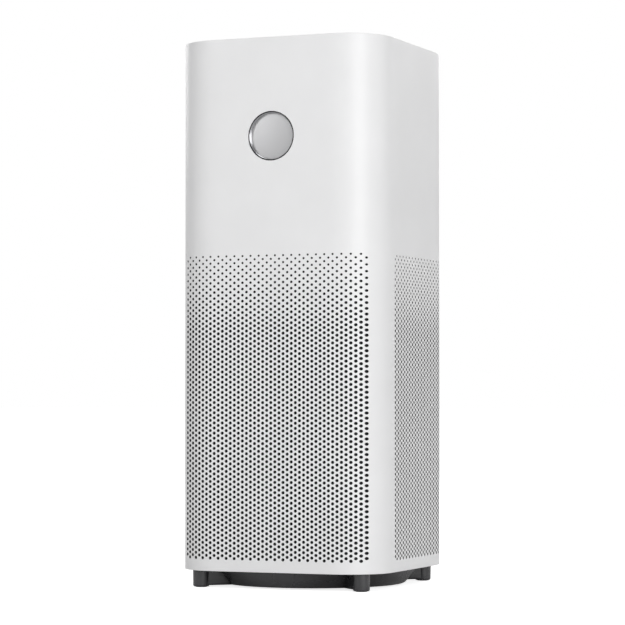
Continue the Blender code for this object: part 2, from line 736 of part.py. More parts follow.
def make_impeller():
    """What turns: the bladed wheel, the motor's outer cup and the shaft, all with their origin on the axis."""
    bore = SHAFT_RADIUS + SEAT
    outer = IMPELLER_RADIUS
    back = IMPELLER_TOP - BACK_PLATE
    plate_profile = ring_profile(bore, outer, back, IMPELLER_TOP)
    wheel = turned("impeller", plate_profile, "grey_plastic", ROUND_STEPS, ring=True)
    eye = EYE_RADIUS
    low = IMPELLER_BOTTOM
    rise = low + SHROUD_RISE
    shroud = turned("shroud", [
        (eye, low + SHROUD_WALL),
        (outer, rise + SHROUD_WALL),
        (outer, rise),
        (eye, low),
    ], ring=True, steps=ROUND_STEPS)
    hub = turned("hub", ring_profile(bore, 0.014, back - 0.010, IMPELLER_TOP - 0.001), ring=True, steps=16)
    for index in range(BLADE_COUNT):
        turn = 2 * math.pi * index / BLADE_COUNT
        blade = plate("blade_%d" % (index + 1), [blade_outline()], rise - 0.0005, back + 0.001)
        blade.rotation_euler = (0, 0, turn)
        join(wheel, blade)
    join(wheel, shroud)
    join(wheel, hub)
    rotor_inner = MOTOR_RADIUS - MOTOR_WALL
    turned("motor_rotor", [
        (MOTOR_RADIUS, MOTOR_TOP),
        (MOTOR_RADIUS, MOTOR_BOTTOM),
        (bore, MOTOR_BOTTOM),
        (bore, MOTOR_BOTTOM + MOTOR_WALL),
        (rotor_inner, MOTOR_BOTTOM + MOTOR_WALL),
        (rotor_inner, MOTOR_TOP),
    ], "steel", 24, ring=True)
    shaft_low = back - 0.014
    shaft_high = MOUNT_TOP + 0.002
    rod("motor_shaft", SHAFT_RADIUS, shaft_high - shaft_low, (0, 0, (shaft_high + shaft_low) / 2), "steel", 16)


def blade_outline():
    """One backward-swept blade in plan: its angle grows evenly with the radius."""
    inner = EYE_RADIUS - 0.010
    outer = IMPELLER_RADIUS - 0.001
    steps = 5
    faces = ([], [])
    for step in range(steps + 1):
        share = step / steps
        radius = inner + (outer - inner) * share
        angle = -math.radians(BLADE_SWEEP) * share
        for face, side in zip(faces, (-1, 1)):
            shift = side * BLADE_WALL / radius
            face.append((radius * math.cos(angle + shift), radius * math.sin(angle + shift)))
    return faces[0] + faces[1][::-1]


def make_top():
    """Top panel with the round outlet, the ring grille in it and the power button at the front."""
    button_hole = circle(POWER_BUTTON_RADIUS + SLIP, (0, BUTTON_Y), 20)
    outlet = circle(OUTLET_RADIUS, sides=ROUND_STEPS)
    deck = plate(
        "top_deck", [rounded_square(FITTED_INSET), outlet, button_hole], TOP_UNDERSIDE, TOP_SURFACE, "white_plastic"
    )
    flange_top = TOP_UNDERSIDE - SEAT
    flange_bottom = flange_top - BUTTON_FLANGE
    spring_low = flange_bottom - SEAT - POWER_SPRING_LENGTH
    board_top = spring_low - SEAT
    for side in (-1, 1):
        join(deck, span_box(
            "lug_%d" % side,
            (side * 0.0115 - 0.0012, BUTTON_Y - 0.004, board_top + SEAT),
            (side * 0.0115 + 0.0012, BUTTON_Y + 0.004, TOP_UNDERSIDE + TOP_PLATE / 2),
        ))
    middle = board_top - BOARD_THICKNESS / 2
    box("switch_board", (0.026, 0.011, BOARD_THICKNESS), (0, BUTTON_Y, middle), "circuit_board")
    cap = SHELL_TOP - 0.0005 - TOP_SURFACE
    turned("power_button", [
        (0, cap),
        (POWER_BUTTON_RADIUS - 0.0005, cap),
        (POWER_BUTTON_RADIUS, cap - 0.0005),
        (POWER_BUTTON_RADIUS, flange_top - TOP_SURFACE),
        (POWER_BUTTON_RADIUS + 0.0012, flange_top - TOP_SURFACE),
        (POWER_BUTTON_RADIUS + 0.0012, flange_bottom - TOP_SURFACE),
        (0, flange_bottom - TOP_SURFACE),
    ], "white_plastic", 20, location=(0, BUTTON_Y, TOP_SURFACE))
    coil_spring("power_spring", (0, BUTTON_Y), spring_low, flange_bottom - SEAT, 0.0042, 0.0004, 4)
    make_grille()


def coil_spring(name, centre, low, high, radius, wire, turns):
    """An open-wound compression spring between two heights, its wire's outer faces at those heights."""
    curve = bpy.data.curves.new(name, "CURVE")
    curve.dimensions = "3D"
    curve.bevel_depth = wire
    curve.bevel_resolution = 1
    curve.use_fill_caps = True
    spline = curve.splines.new("POLY")
    steps = 8 * turns
    spline.points.add(steps)
    for index, point in enumerate(spline.points):
        angle = 2 * math.pi * index / 8
        height = low + wire + (high - low - 2 * wire) * index / steps
        point.co = (radius * math.cos(angle), radius * math.sin(angle), height, 1)
    mesh = welded_mesh(name, curve)
    place(name, mesh, "steel", (*centre, 0))


def make_grille():
    """Concentric rings on six radial spokes inside a rim, with a blank hub and two screw bosses."""
    top = TOP_SURFACE - GRILLE_RISE
    bottom = top - GRILLE_DEPTH
    rim_outer = OUTLET_RADIUS - SLIP
    rim_inner = rim_outer - GRILLE_RIM
    rim = ring_profile(rim_inner, rim_outer, bottom, top)
    grille = turned("outlet_grille", rim, "grey_plastic", ROUND_STEPS, ring=True)
    join(grille, rod("grille_hub", GRILLE_HUB, GRILLE_DEPTH - 0.0004, (0, 0, top - GRILLE_DEPTH / 2), sides=20))
    for index in range(GRILLE_SPOKES):
        spoke = box(
            "spoke_%d" % (index + 1),
            (2 * rim_inner + GRILLE_RIM, 0.003, GRILLE_DEPTH - 0.0016),
            (0, 0, top - GRILLE_DEPTH / 2),
        )
        spoke.rotation_euler = (0, 0, math.pi * index / GRILLE_SPOKES)
        join(grille, spoke)
    count = int((rim_inner - GRILLE_HUB) / GRILLE_PITCH)
    for index in range(count):
        middle = rim_inner - GRILLE_PITCH * (index + 1)
        if middle < GRILLE_HUB + GRILLE_BAR * 2:
            continue
        sides = 4 * round(3 + 3 * middle / rim_inner)
        ring = ring_profile(middle - GRILLE_BAR / 2, middle + GRILLE_BAR / 2, bottom + 0.001, top - 0.0004)
        join(grille, turned("grille_ring_%d" % (index + 1), ring, ring=True, steps=sides))
    for name, side in (("left", -1), ("right", 1)):
        boss_place = side * (rim_inner - 0.0045)
        boss = rod("boss_" + name, 0.005, GRILLE_DEPTH - 0.0010, (boss_place, 0, top - GRILLE_DEPTH / 2), sides=16)
        join(grille, boss)
        cut(grille, rod("hole_" + name, 0.0019, 0.05, (boss_place, 0, top), sides=12))
        cut(grille, rod("counterbore_" + name, 0.0034, 0.006, (boss_place, 0, top + 0.001), sides=16))
        head = top - 0.002 + SEAT
        turned("grille_screw_" + name, [
            (0, head + 0.0016),
            (0.0026, head + 0.0016),
            (0.0030, head),
            (0.0015, head),
            (0.0015, bottom + SEAT),
            (0, bottom + SEAT),
        ], "steel", 12, location=(boss_place, 0, 0))


def make_display():
    """Polished well in the front, the silver disc at its bottom and the board behind; drawn facing +Z, then turned."""
    lip_inner = RING_RADIUS - RING_LIP
    flange_front = -(SHELL_WALL + SEAT)
    flange = RING_RADIUS + RING_FLANGE
    back = -(WELL_DEPTH - SEAT)
    ring = turned("display_ring", [
        (RING_RADIUS, -0.0001),
        (RING_RADIUS, flange_front),
        (flange, flange_front),
        (flange, flange_front - 0.0015),
        (WELL_RADIUS + 0.0015, back),
        (WELL_RADIUS, back),
        (lip_inner, -0.0001),
    ], "chrome", ROUND_STEPS, ring=True, location=(0, -HALF, DISPLAY_Z))
    ring.rotation_euler = (QUARTER, 0, 0)
    lens_thickness = 0.0018
    middle = -HALF + WELL_DEPTH + lens_thickness / 2
    rod("display_lens", WELL_RADIUS + 0.0015, lens_thickness, (0, middle, DISPLAY_Z), "satin_silver", ROUND_STEPS, "Y")
    board_front = -HALF + WELL_DEPTH + lens_thickness + SEAT
    board = span_box(
        "display_board",
        (-0.030, board_front, DISPLAY_Z - 0.024),
        (0.030, board_front + BOARD_THICKNESS, DISPLAY_Z + 0.024),
        "circuit_board",
    )
    chip = span_box(
        "display_chip",
        (-0.006, board_front + 0.0014, DISPLAY_Z - 0.006),
        (0.006, board_front + 0.0026, DISPLAY_Z + 0.006),
    )
    join(board, chip)


def make_electronics():
    """Power board in the base dish, control board beside the fan, two sensors at the back and one wiring loom."""
    bottom = DISH_GROUND_GAP + DISH_WALL + STANDOFF_HEIGHT + SEAT
    top = bottom + BOARD_THICKNESS
    board = span_box("power_board", (-0.060, -0.042, bottom), (0.060, 0.042, top), "circuit_board")
    base = top - 0.0004
    join(board, span_box("transformer", (-0.020, -0.012, base), (0.008, 0.014, base + 0.020)))
    join(board, span_box("heat_sink", (0.020, -0.030, base), (0.024, 0.020, base + 0.018)))
    join(board, rod("capacitor_1", 0.008, 0.018, (-0.040, 0.012, base + 0.009), sides=14))
    join(board, rod("capacitor_2", 0.005, 0.014, (0.042, 0.020, base + 0.007), sides=12))
    join(board, span_box("terminal", (-0.052, -0.036, base), (-0.036, -0.026, base + 0.010)))
    radial = FAN_RADIUS + 0.016
    control = box("control_board", (BOARD_THICKNESS, 0.060, 0.096), (0, 0, 0), "circuit_board")
    control.location = (radial / math.sqrt(2), -radial / math.sqrt(2), DECK_TOP + SEAT + 0.048)
    control.rotation_euler = (0, 0, -math.pi / 4)
    out = (radial + 0.004) / math.sqrt(2)
    chip = box("control_chip", (0.008, 0.020, 0.024), (out, -out, DECK_TOP + 0.050))
    chip.rotation_euler = (0, 0, -math.pi / 4)
    join(control, chip)
    front = INNER - 0.0008
    span_box(
        "particle_sensor",
        (-SENSOR_OFFSET - 0.019, front - 0.0115, BACK_Z - 0.022),
        (-SENSOR_OFFSET + 0.019, front, BACK_Z + 0.022),
        "steel",
    )
    span_box(
        "climate_board",
        (SENSOR_OFFSET - 0.012, front - 0.0026, BACK_Z - 0.012),
        (SENSOR_OFFSET + 0.012, front - 0.0010, BACK_Z + 0.012),
        "circuit_board",
    )
    board_face = INNER - SEAT - BRIGHTNESS_STEM - BRIGHTNESS_TRAVEL - SWITCH_HEIGHT
    span_box(
        "brightness_board",
        (-0.009, board_face - BOARD_THICKNESS, BRIGHTNESS_Z - 0.008),
        (0.009, board_face, BRIGHTNESS_Z + 0.008),
        "circuit_board",
    )
    make_loom()


def make_loom():
    """The wiring's sleeve, straight up the front left corner from the base bay to the fan bay."""
    curve = bpy.data.curves.new("wiring_loom", "CURVE")
    curve.dimensions = "3D"
    curve.bevel_depth = LOOM_RADIUS
    curve.bevel_resolution = 1
    curve.use_fill_caps = True
    spline = curve.splines.new("POLY")
    low = BASE_TOP + 0.004
    high = DECK_TOP + 0.060
    steps = 6
    spline.points.add(steps)
    for index, point in enumerate(spline.points):
        point.co = (*LOOM_PLACE, low + (high - low) * index / steps, 1)
    mesh = welded_mesh("wiring_loom", curve)
    place("wiring_loom", mesh, "wire_sheath")


def make_inlet():
    """Mains socket: a block with a figure-of-eight well and its two pins."""
    front = HALF - 0.0005
    inlet = span_box(
        "power_inlet",
        (-INLET_WIDTH / 2, front - INLET_LENGTH, INLET_Z - INLET_HEIGHT / 2),
        (INLET_WIDTH / 2, front, INLET_Z + INLET_HEIGHT / 2),
        "dark_plastic",
    )
    spread = SOCKET_SPREAD
    depth = 2 * SOCKET_DEPTH
    well = rod("well_right", SOCKET_LOBE, depth, (spread, front, INLET_Z), sides=16, axis="Y")
    join(well, rod("well_left", SOCKET_LOBE, depth - 0.001, (-spread, front, INLET_Z), sides=16, axis="Y"))
    join(well, box("well_waist", (2 * spread, depth - 0.002, SOCKET_WAIST), (0, front, INLET_Z)))
    cut(inlet, well)
    pin_length = SOCKET_DEPTH - 0.001
    pin_middle = front - SOCKET_DEPTH / 2 - 0.0015
    for name, side in (("left", -1), ("right", 1)):
        spot = (side * spread, pin_middle, INLET_Z)
        join(inlet, rod("pin_" + name, SOCKET_PIN_RADIUS, pin_length, spot, sides=8, axis="Y"))


def make_door():
    """Rear cover with two hooks at its foot and a latch notch at its top. Its origin is on the hinge line."""
    hinge = bpy.data.objects.new("door_hinge", None)
    parts.objects.link(hinge)
    hinge.location = (0, HINGE_Y, HINGE_Z)
    bpy.context.view_layer.update()
    door = upright_wall(
        "rear_door", rear_line(DOOR_HALF - DOOR_GAP), DOOR_BOTTOM, DOOR_TOP, SHELL_WALL, "white_plastic", cyclic=False
    )
    cut(door, span_box(
        "cut_latch_notch",
        (-LATCH_WIDTH / 2 - 2 * SLIP, INNER - 2 * SHELL_WALL, NOTCH_BOTTOM),
        (LATCH_WIDTH / 2 + 2 * SLIP, HALF + 2 * SHELL_WALL, DOOR_TOP + 2 * SHELL_WALL),
    ))
    for name, side in (("left", -1), ("right", 1)):
        middle = side * HOOK_SPACING / 2
        low = (middle - HOOK_WIDTH / 2, INNER - HOOK_DEPTH, DOOR_BOTTOM - HOOK_DROP)
        hook = span_box("hook_" + name, low, (middle + HOOK_WIDTH / 2, INNER - 0.0009, DOOR_BOTTOM + 0.005))
        root_low = (middle - HOOK_WIDTH / 2, INNER - HOOK_DEPTH + 0.0005, DOOR_BOTTOM + 0.0008)
        root = span_box("hook_root_" + name, root_low, (middle + HOOK_WIDTH / 2, INNER + 0.0008, DOOR_BOTTOM + 0.0046))
        join(hook, root)
        join(door, hook)
    keep_place(door, hinge)
    latch = span_box(
        "door_latch",
        (-LATCH_WIDTH / 2, INNER - 0.001, LATCH_BOTTOM),
        (LATCH_WIDTH / 2, INNER - 0.001 + LATCH_THICKNESS, LATCH_TOP),
        "white_plastic",
    )
    ridge = span_box(
        "latch_ridge",
        (-LATCH_WIDTH / 2 + 0.003, INNER + 0.001, LATCH_TOP - 0.0030),
        (LATCH_WIDTH / 2 - 0.003, HALF - 0.0001, LATCH_TOP - 0.0015),
    )
    root = INNER - 0.0008
    tooth = span_box("latch_tooth", (-0.008, INNER - 0.0035, LATCH_TOP - 0.008), (0.008, root, LATCH_TOP + 0.0006))
    lug = span_box("latch_lug", (-0.004, INNER - 0.0065, LATCH_BOTTOM), (0.004, root, LATCH_BOTTOM + 0.003))
    for extra in (ridge, tooth, lug):
        join(latch, extra)
    keep_place(latch, hinge)
    pocket_half = LATCH_WIDTH / 2 + 0.0035
    pocket_bottom = NOTCH_BOTTOM - POCKET_FLOOR_DROP
    back = INNER - SEAT - POCKET_DEPTH
    pocket = span_box(
        "latch_pocket",
        (-pocket_half, back, pocket_bottom),
        (pocket_half, INNER - SEAT, DOOR_TOP - 0.001),
        "white_plastic",
    )
    cut(pocket, span_box(
        "cut_pocket",
        (-pocket_half + POCKET_WALL, back + POCKET_WALL, pocket_bottom + POCKET_WALL),
        (pocket_half - POCKET_WALL, HALF, DOOR_TOP + 0.01),
    ))
    keep_place(pocket, hinge)
    spring_low = pocket_bottom + POCKET_WALL + SEAT
    coil_spring("latch_spring", (0, INNER - 0.0045), spring_low, LATCH_BOTTOM - SEAT, 0.0021, 0.0003, 5)
    keep_place(bpy.data.objects["latch_spring"], hinge)


def keep_place(obj, parent):
    """Parents the object to an empty without moving it."""
    obj.parent = parent
    obj.matrix_parent_inverse = parent.matrix_world.inverted()


def make_back_fittings():
    """Brightness button, and the sensor cover that turns on two short pins in the shell's edge."""
    flange_front = -(HALF - INNER + SEAT)
    button = turned("brightness_button", [
        (0, -0.0002),
        (BRIGHTNESS_RADIUS, -0.0002),
        (BRIGHTNESS_RADIUS, flange_front),
        (BRIGHTNESS_RADIUS + 0.0015, flange_front),
        (BRIGHTNESS_RADIUS + 0.0015, flange_front - 0.0014),
        (0.002, flange_front - 0.0014),
        (0.002, flange_front - BRIGHTNESS_STEM),
        (0, flange_front - BRIGHTNESS_STEM),
    ], "white_plastic", 16, location=(0, HALF, BRIGHTNESS_Z))
    button.rotation_euler = (-QUARTER, 0, 0)
    turning_point = (-SENSOR_OFFSET, COVER_AXIS_Y, COVER_AXIS_Z)
    panel = COVER_HEIGHT - COVER_TURN
    cover = box("sensor_cover", (1, 1, 1), turning_point, "white_plastic")
    for corner in cover.data.vertices:
        corner.co = (corner.co.x * COVER_WIDTH, corner.co.y * COVER_WALL, (corner.co.z + 0.5) * panel)
    join(cover, rod("cover_knuckle", COVER_TURN, COVER_WIDTH - 0.0002, turning_point, sides=16, axis="X"))
    join(cover, rod(
        "cover_pins", COVER_PIN_RADIUS, COVER_WIDTH + 2 * COVER_PIN_LENGTH, turning_point, sides=10, axis="X"
    ))
    grip = box("cut_cover_grip", (0.014, 0.003, 0.004), (-SENSOR_OFFSET, HALF, BACK_Z + COVER_HEIGHT / 2))
    cut(cover, grip)


clear_scene()
parts = new_collection("air_purifier")
cutters = new_collection("cutters")
make_outer_shell()
make_base()
make_inner_frame()
make_filter()
make_air_path()
make_motor()
make_impeller()
make_top()
make_display()
make_electronics()
make_inlet()
make_door()
make_back_fittings()
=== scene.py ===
"""Air purifier: finished surfaces and materials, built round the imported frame. Metres, +Z up, front at -Y."""

import math

import bpy
import numpy as np
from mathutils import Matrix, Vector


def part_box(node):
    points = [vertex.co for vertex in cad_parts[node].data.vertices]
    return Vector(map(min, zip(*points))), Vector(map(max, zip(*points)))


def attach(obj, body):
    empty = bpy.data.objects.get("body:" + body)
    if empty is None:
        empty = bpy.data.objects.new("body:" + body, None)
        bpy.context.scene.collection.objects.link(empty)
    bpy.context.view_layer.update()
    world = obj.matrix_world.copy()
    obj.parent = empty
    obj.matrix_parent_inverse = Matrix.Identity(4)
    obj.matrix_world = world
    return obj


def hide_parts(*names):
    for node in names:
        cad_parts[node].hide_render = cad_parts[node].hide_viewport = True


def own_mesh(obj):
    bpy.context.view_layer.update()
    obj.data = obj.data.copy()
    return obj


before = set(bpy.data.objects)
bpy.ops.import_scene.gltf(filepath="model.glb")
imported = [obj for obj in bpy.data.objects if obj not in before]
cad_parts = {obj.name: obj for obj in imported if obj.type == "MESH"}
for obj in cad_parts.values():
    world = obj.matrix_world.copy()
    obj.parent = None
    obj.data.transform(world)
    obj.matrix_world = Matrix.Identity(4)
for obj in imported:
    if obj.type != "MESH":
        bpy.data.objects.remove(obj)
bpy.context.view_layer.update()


# --- Outer shell ---
# One white ABS moulding, a rounded square in plan and open at both ends. Above the air holes it is plain,
# with a round window for the display at the front and openings for the door, sensor, slots, button and mains
# socket at the back. Its inside faces are near-black, which is painted shade: the real moulding is white
# there, and only shaded.
def middle_of(name, axis):
    """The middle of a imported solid's box along X, Y or Z, which are 0, 1 and 2."""
    low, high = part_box(name)
    return (low[axis] + high[axis]) / 2


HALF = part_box("outer_shell")[1].x
SHELL_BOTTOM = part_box("outer_shell")[0].z
SHELL_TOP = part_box("outer_shell")[1].z
WALL = 0.0025
EDGE_ROUND = 0.0006
EDGE_STEP = 0.00018
CORNER_EXTENT = 0.070
CORNER_POWER = 2.3
FLAT_HALF = HALF - CORNER_EXTENT
DISPLAY_Z = middle_of("display_ring", 2)
DISPLAY_HOLE = 0.0335
DISPLAY_CELLS = 0.0397
BACK_Z = middle_of("climate_board", 2)
BRIGHTNESS_Z = middle_of("brightness_button", 2)
BRIGHTNESS_HOLE = 0.005
BUTTON_CELLS = 0.008
INLET_Z = middle_of("power_inlet", 2)
INLET_HALF_WIDTH = 0.0128
INLET_HALF_HEIGHT = 0.00805
DOOR_EDGE = 0.126
OPENING_BOTTOM = 0.054
OPENING_TOP = 0.4788
FLAP_NEAR, FLAP_FAR = 0.0255, 0.0705
FLAP_HALF_HEIGHT = 0.0265
SLOT_NEAR, SLOT_X, SLOT_FAR = 0.035, 0.048, 0.061
SLOT_RADIUS = 0.00125
SLOT_HALF_CORE = 0.00975
SLOT_LIFTS = (-0.009, -0.003, 0.003, 0.009)
ALONG_X = np.array([1.0, 0, 0])


def node(tree, kind, *inputs, **named):
    """A shader node. Its inputs, by order or by name, take a value, or a link from a socket."""
    made = tree.nodes.new("ShaderNode" + kind)
    for key, value in [*enumerate(inputs), *named.items()]:
        socket = made.inputs[key if isinstance(key, int) else key.replace("_", " ")]
        if isinstance(value, bpy.types.NodeSocket):
            tree.links.new(value, socket)
        else:
            socket.default_value = value
    return made


def moulding(name, colour, roughness, grain=1500, depth=0.00003, metallic=0.0, variation=0.03, specular=0.5):
    """A moulded or cast finish: fine spark-eroded grain as bump, and slow, faint changes of tone."""
    material = bpy.data.materials.new(name)
    material.use_nodes = True
    tree = material.node_tree
    place = node(tree, "TexCoord").outputs["Object"]
    fine = node(tree, "TexNoise", Vector=place, Scale=grain, Detail=2).outputs["Fac"]
    slow = node(tree, "TexNoise", Vector=place, Scale=14, Detail=4).outputs["Fac"]
    bump = node(tree, "Bump", Strength=0.6, Distance=depth, Height=fine)
    tone = node(tree, "ValToRGB", slow)
    dark, light = tone.color_ramp.elements
    dark.position, light.position = 0.3, 0.7
    dark.color = [c * (1 - variation) for c in colour] + [1]
    light.color = [*colour, 1]
    sheen = node(tree, "MapRange", slow, To_Min=roughness * 0.9, To_Max=min(roughness * 1.1, 1))
    shader = tree.nodes["Principled BSDF"].inputs
    shader["Metallic"].default_value = metallic
    shader["Specular IOR Level"].default_value = specular
    tree.links.new(bump.outputs["Normal"], shader["Normal"])
    tree.links.new(tone.outputs["Color"], shader["Base Color"])
    tree.links.new(sheen.outputs["Result"], shader["Roughness"])
    return material


def solid(name, shape, materials, body, replaced=None, slots=None, normals=None, angle=32):
    """A piece on a body, from points and groups of faces, each an index array with a column for each corner.
    slots gives each group's material; normals, where given, holds (point normals, one True or False a group)."""
    points = np.asarray(shape[0], np.float32).reshape(-1, 3)
    groups = [np.asarray(g, np.int32) for g in shape[1]]
    corners = np.concatenate([g.ravel() for g in groups])
    sizes = np.concatenate([np.full(len(g), g.shape[1], np.int32) for g in groups])
    mesh = bpy.data.meshes.new(name)
    mesh.vertices.add(len(points))
    mesh.vertices.foreach_set("co", points.ravel())
    mesh.loops.add(len(corners))
    mesh.loops.foreach_set("vertex_index", corners)
    mesh.polygons.add(len(sizes))
    mesh.polygons.foreach_set("loop_start", np.concatenate([[0], np.cumsum(sizes)[:-1]]).astype(np.int32))
    for material in materials:
        mesh.materials.append(material)
    if slots:
        index = np.concatenate([np.full(len(g), s, np.int32) for g, s in zip(groups, slots)])
        mesh.polygons.foreach_set("material_index", index)
    mesh.update(calc_edges=True)
    mesh.validate()
    mesh.shade_smooth()
    mesh.set_sharp_from_angle(angle=math.radians(angle))
    if normals:
        share = np.concatenate([np.full(g.size, float(on)) for g, on in zip(groups, normals[1])])
        mesh.normals_split_custom_set((normals[0][corners] * share[:, None]).tolist())
    piece = bpy.data.objects.new(name, mesh)
    bpy.context.scene.collection.objects.link(piece)
    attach(piece, body)
    if replaced:
        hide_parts(replaced)
    return piece


def turned(points, quarter):
    """Points turned about +Z by that many quarter turns."""
    for _ in range(quarter):
        points = np.concatenate([-points[..., 1:2], points[..., :1], points[..., 2:]], -1)
    return points


def side_of(across, inset=0.0):
    """How far out a side lies at a distance across it: flat in the middle, superelliptic at its ends."""
    extent = CORNER_EXTENT - inset
    share = np.clip((np.abs(across) - FLAT_HALF) / extent, 0, 1)
    return FLAT_HALF + extent * (1 - share**CORNER_POWER) ** (1 / CORNER_POWER)


def on_side(across, quarter):
    """Outline points at distances across a side: 0 is the front, 1 the right, 2 the rear and 3 the left."""
    across = np.asarray(across, float)
    return turned(np.stack([across, -side_of(across)], 1), quarter)


def round_corner(first, last, count, quarter):
    """Outline points evenly turned between two turns in a corner, for the corner that ends that side."""
    turns = np.linspace(first, last, count + 2)[1:-1]
    across = FLAT_HALF + CORNER_EXTENT * np.cos(turns) ** (2 / CORNER_POWER)
    out = FLAT_HALF + CORNER_EXTENT * np.sin(turns) ** (2 / CORNER_POWER)
    return turned(np.stack([across, -out], 1), quarter)


def corner_turn(across):
    """The turn in a corner of a distance across a side: a quarter turn at its start, none at its end."""
    share = (across - FLAT_HALF) / CORNER_EXTENT
    return math.acos(share ** (CORNER_POWER / 2)) if share > 0 else math.pi / 2


def moved_in(outline, inset):
    """The outline moved in: each corner shrinks about the middle of its curve, each flat keeps its length."""
    size = np.abs(outline)
    beyond = np.maximum(size - FLAT_HALF, 0) * (CORNER_EXTENT - inset) / CORNER_EXTENT
    return np.sign(outline) * (np.minimum(size, FLAT_HALF) + beyond)


def outline_normal(outline):
    """The direction straight out of the outline at its points, the gradient of the corner's superellipse."""
    share = np.maximum(np.abs(outline) - FLAT_HALF, 0) / CORNER_EXTENT
    out = np.sign(outline) * share ** (CORNER_POWER - 1)
    out = out / np.linalg.norm(out, axis=1)[:, None]
    return np.concatenate([out, np.zeros((len(out), 1))], 1)


def walled_sheet(outer, inner, kept, patches=(), wrap=False):
    """A sheet with thickness from two grids of points: kept cells get a face on both grids, and walls close it
    where a kept cell meets none. A patch is (first and last column, first and last row, middle, radius, half
    core): its cells are left open round a hole that is a circle, or two half circles a core apart along X.
    Returns the points and the face groups: outer faces, inner faces, walls."""
    columns, rows = outer.shape[:2]
    index = np.arange(columns * rows).reshape(columns, rows)
    back = columns * rows
    full = kept.copy()
    for i0, i1, j0, j1, *_ in patches:
        kept[i0:i1, j0:j1] = False
        full[i0:i1, j0:j1] = True
    ahead = np.roll(index, -1, 0) if wrap else np.concatenate([index[1:], index[-1:]])
    i, j = np.nonzero(kept)
    face = np.stack([index[i, j], ahead[i, j], ahead[i, j + 1], index[i, j + 1]], 1)
    outer_faces, inner_faces, walls = [face], [face[:, ::-1] + back], []
    padded = np.zeros((columns + 1, rows + 1), bool)
    padded[1 : len(full) + 1, 1:rows] = full
    if wrap:
        padded[0, 1:rows] = full[-1]
    for first, second, beyond in (
        (padded[:-1, 1:rows], padded[1:, 1:rows], np.roll(index, -1, 1)),
        (padded[1:, 1:], padded[1:, :-1], ahead),
    ):
        for here, start, end in ((first & ~second, beyond, index), (second & ~first, index, beyond)):
            cells = np.nonzero(here)
            walls.append(np.stack([start[cells], end[cells], end[cells] + back, start[cells] + back], 1))
    points = [outer.reshape(-1, 3), inner.reshape(-1, 3)]
    count = 2 * back
    for i0, i1, j0, j1, middle, radius, core in patches:
        loop = np.concatenate([index[i0:i1, j0], index[i1, j0:j1], index[i1:i0:-1, j1], index[i0, j1:j0:-1]])
        for sheet in points[:2]:
            edge = sheet[loop]
            centre = middle + (edge.mean(0) - middle) * (np.ptp(edge, axis=0) < 1e-6)
            along = np.clip(edge[:, :1] - centre[0], -core, core) * ALONG_X
            out = edge - centre - along
            points.append(centre + along + radius * out / np.linalg.norm(out, axis=1)[:, None])
        near = count + np.arange(len(loop))
        far = near + len(loop)
        count += 2 * len(loop)
        after, near_after, far_after = (np.roll(ring, -1) for ring in (loop, near, far))
        outer_faces.append(np.stack([loop, after, near_after, near], 1))
        inner_faces.append(np.stack([far, far_after, after + back, loop + back], 1))
        walls.append(np.stack([near, near_after, far_after, far], 1))
    return np.concatenate(points), [np.concatenate(faces) for faces in (outer_faces, inner_faces, walls)]


HOLE_PITCH = 0.006876
COLUMN_PITCH = HOLE_PITCH * math.sqrt(3) / 2
FRONT_COLUMNS = (np.arange(45) - 22) * COLUMN_PITCH
SIDE_COLUMNS = -0.0753 + np.arange(33) * COLUMN_PITCH
TOP_ROW = 0.4487
WIDE_ROWS = 12
gaps = np.ones(57)
gaps[:WIDE_ROWS] = 1.356 - 0.0316 * np.arange(WIDE_ROWS)
odd_rows = TOP_ROW - HOLE_PITCH * np.concatenate([[0], np.cumsum(gaps)])
ROWS = np.empty(115)
ROWS[0::2] = odd_rows
ROWS[1::2] = (odd_rows[1:] + odd_rows[:-1]) / 2
FIELD_TOP = ROWS[0] + gaps[0] * HOLE_PITCH / 2
FIELD_BOTTOM = ROWS[-1] - HOLE_PITCH / 2


def field_stations(columns):
    """Where the straight top and bottom edges of a field of holes have their points, across the side."""
    inner = np.stack([columns[1::2] - COLUMN_PITCH / 3, columns[1::2] + COLUMN_PITCH / 3], 1).ravel()
    return np.concatenate([[columns[0] - COLUMN_PITCH * 2 / 3], inner, [columns[-1] + COLUMN_PITCH * 2 / 3]])


def steps_between(edges, counts):
    """Even steps from edge to edge, with so many in each span."""
    parts = [np.linspace(a, b, n + 1)[:-1] for a, b, n in zip(edges, edges[1:], counts)]
    return np.concatenate(parts + [[edges[-1]]])


front = field_stations(FRONT_COLUMNS)
right = field_stations(SIDE_COLUMNS)
rear = steps_between(
    (-DOOR_EDGE, -0.080, -SLOT_FAR, -SLOT_NEAR, -INLET_HALF_WIDTH, -BUTTON_CELLS, BUTTON_CELLS,
     INLET_HALF_WIDTH, FLAP_NEAR, FLAP_FAR, 0.080, DOOR_EDGE),
    (8, 3, 14, 4, 1, 8, 1, 2, 6, 1, 8),
)
front_corner = round_corner(corner_turn(front[-1]), 0, 10, 0)
rear_corner = round_corner(corner_turn(right[-1]), math.pi / 2 - corner_turn(DOOR_EDGE), 6, 1)
right_half = np.concatenate([front_corner, [[HALF, -FLAT_HALF]], on_side(right, 1), rear_corner])
outline = np.concatenate([on_side(front, 0), right_half, on_side(rear, 2), (right_half * (-1, 1))[::-1]])
display_edge = front[np.argmin(np.abs(front - DISPLAY_CELLS))]
slot_edges = np.array(SLOT_LIFTS)[:, None] + (-0.003, 0, 0.003)
foot_steps = SHELL_BOTTOM + np.array([0, EDGE_STEP, EDGE_ROUND])
head_steps = SHELL_TOP - np.array([EDGE_ROUND, EDGE_STEP, 0])
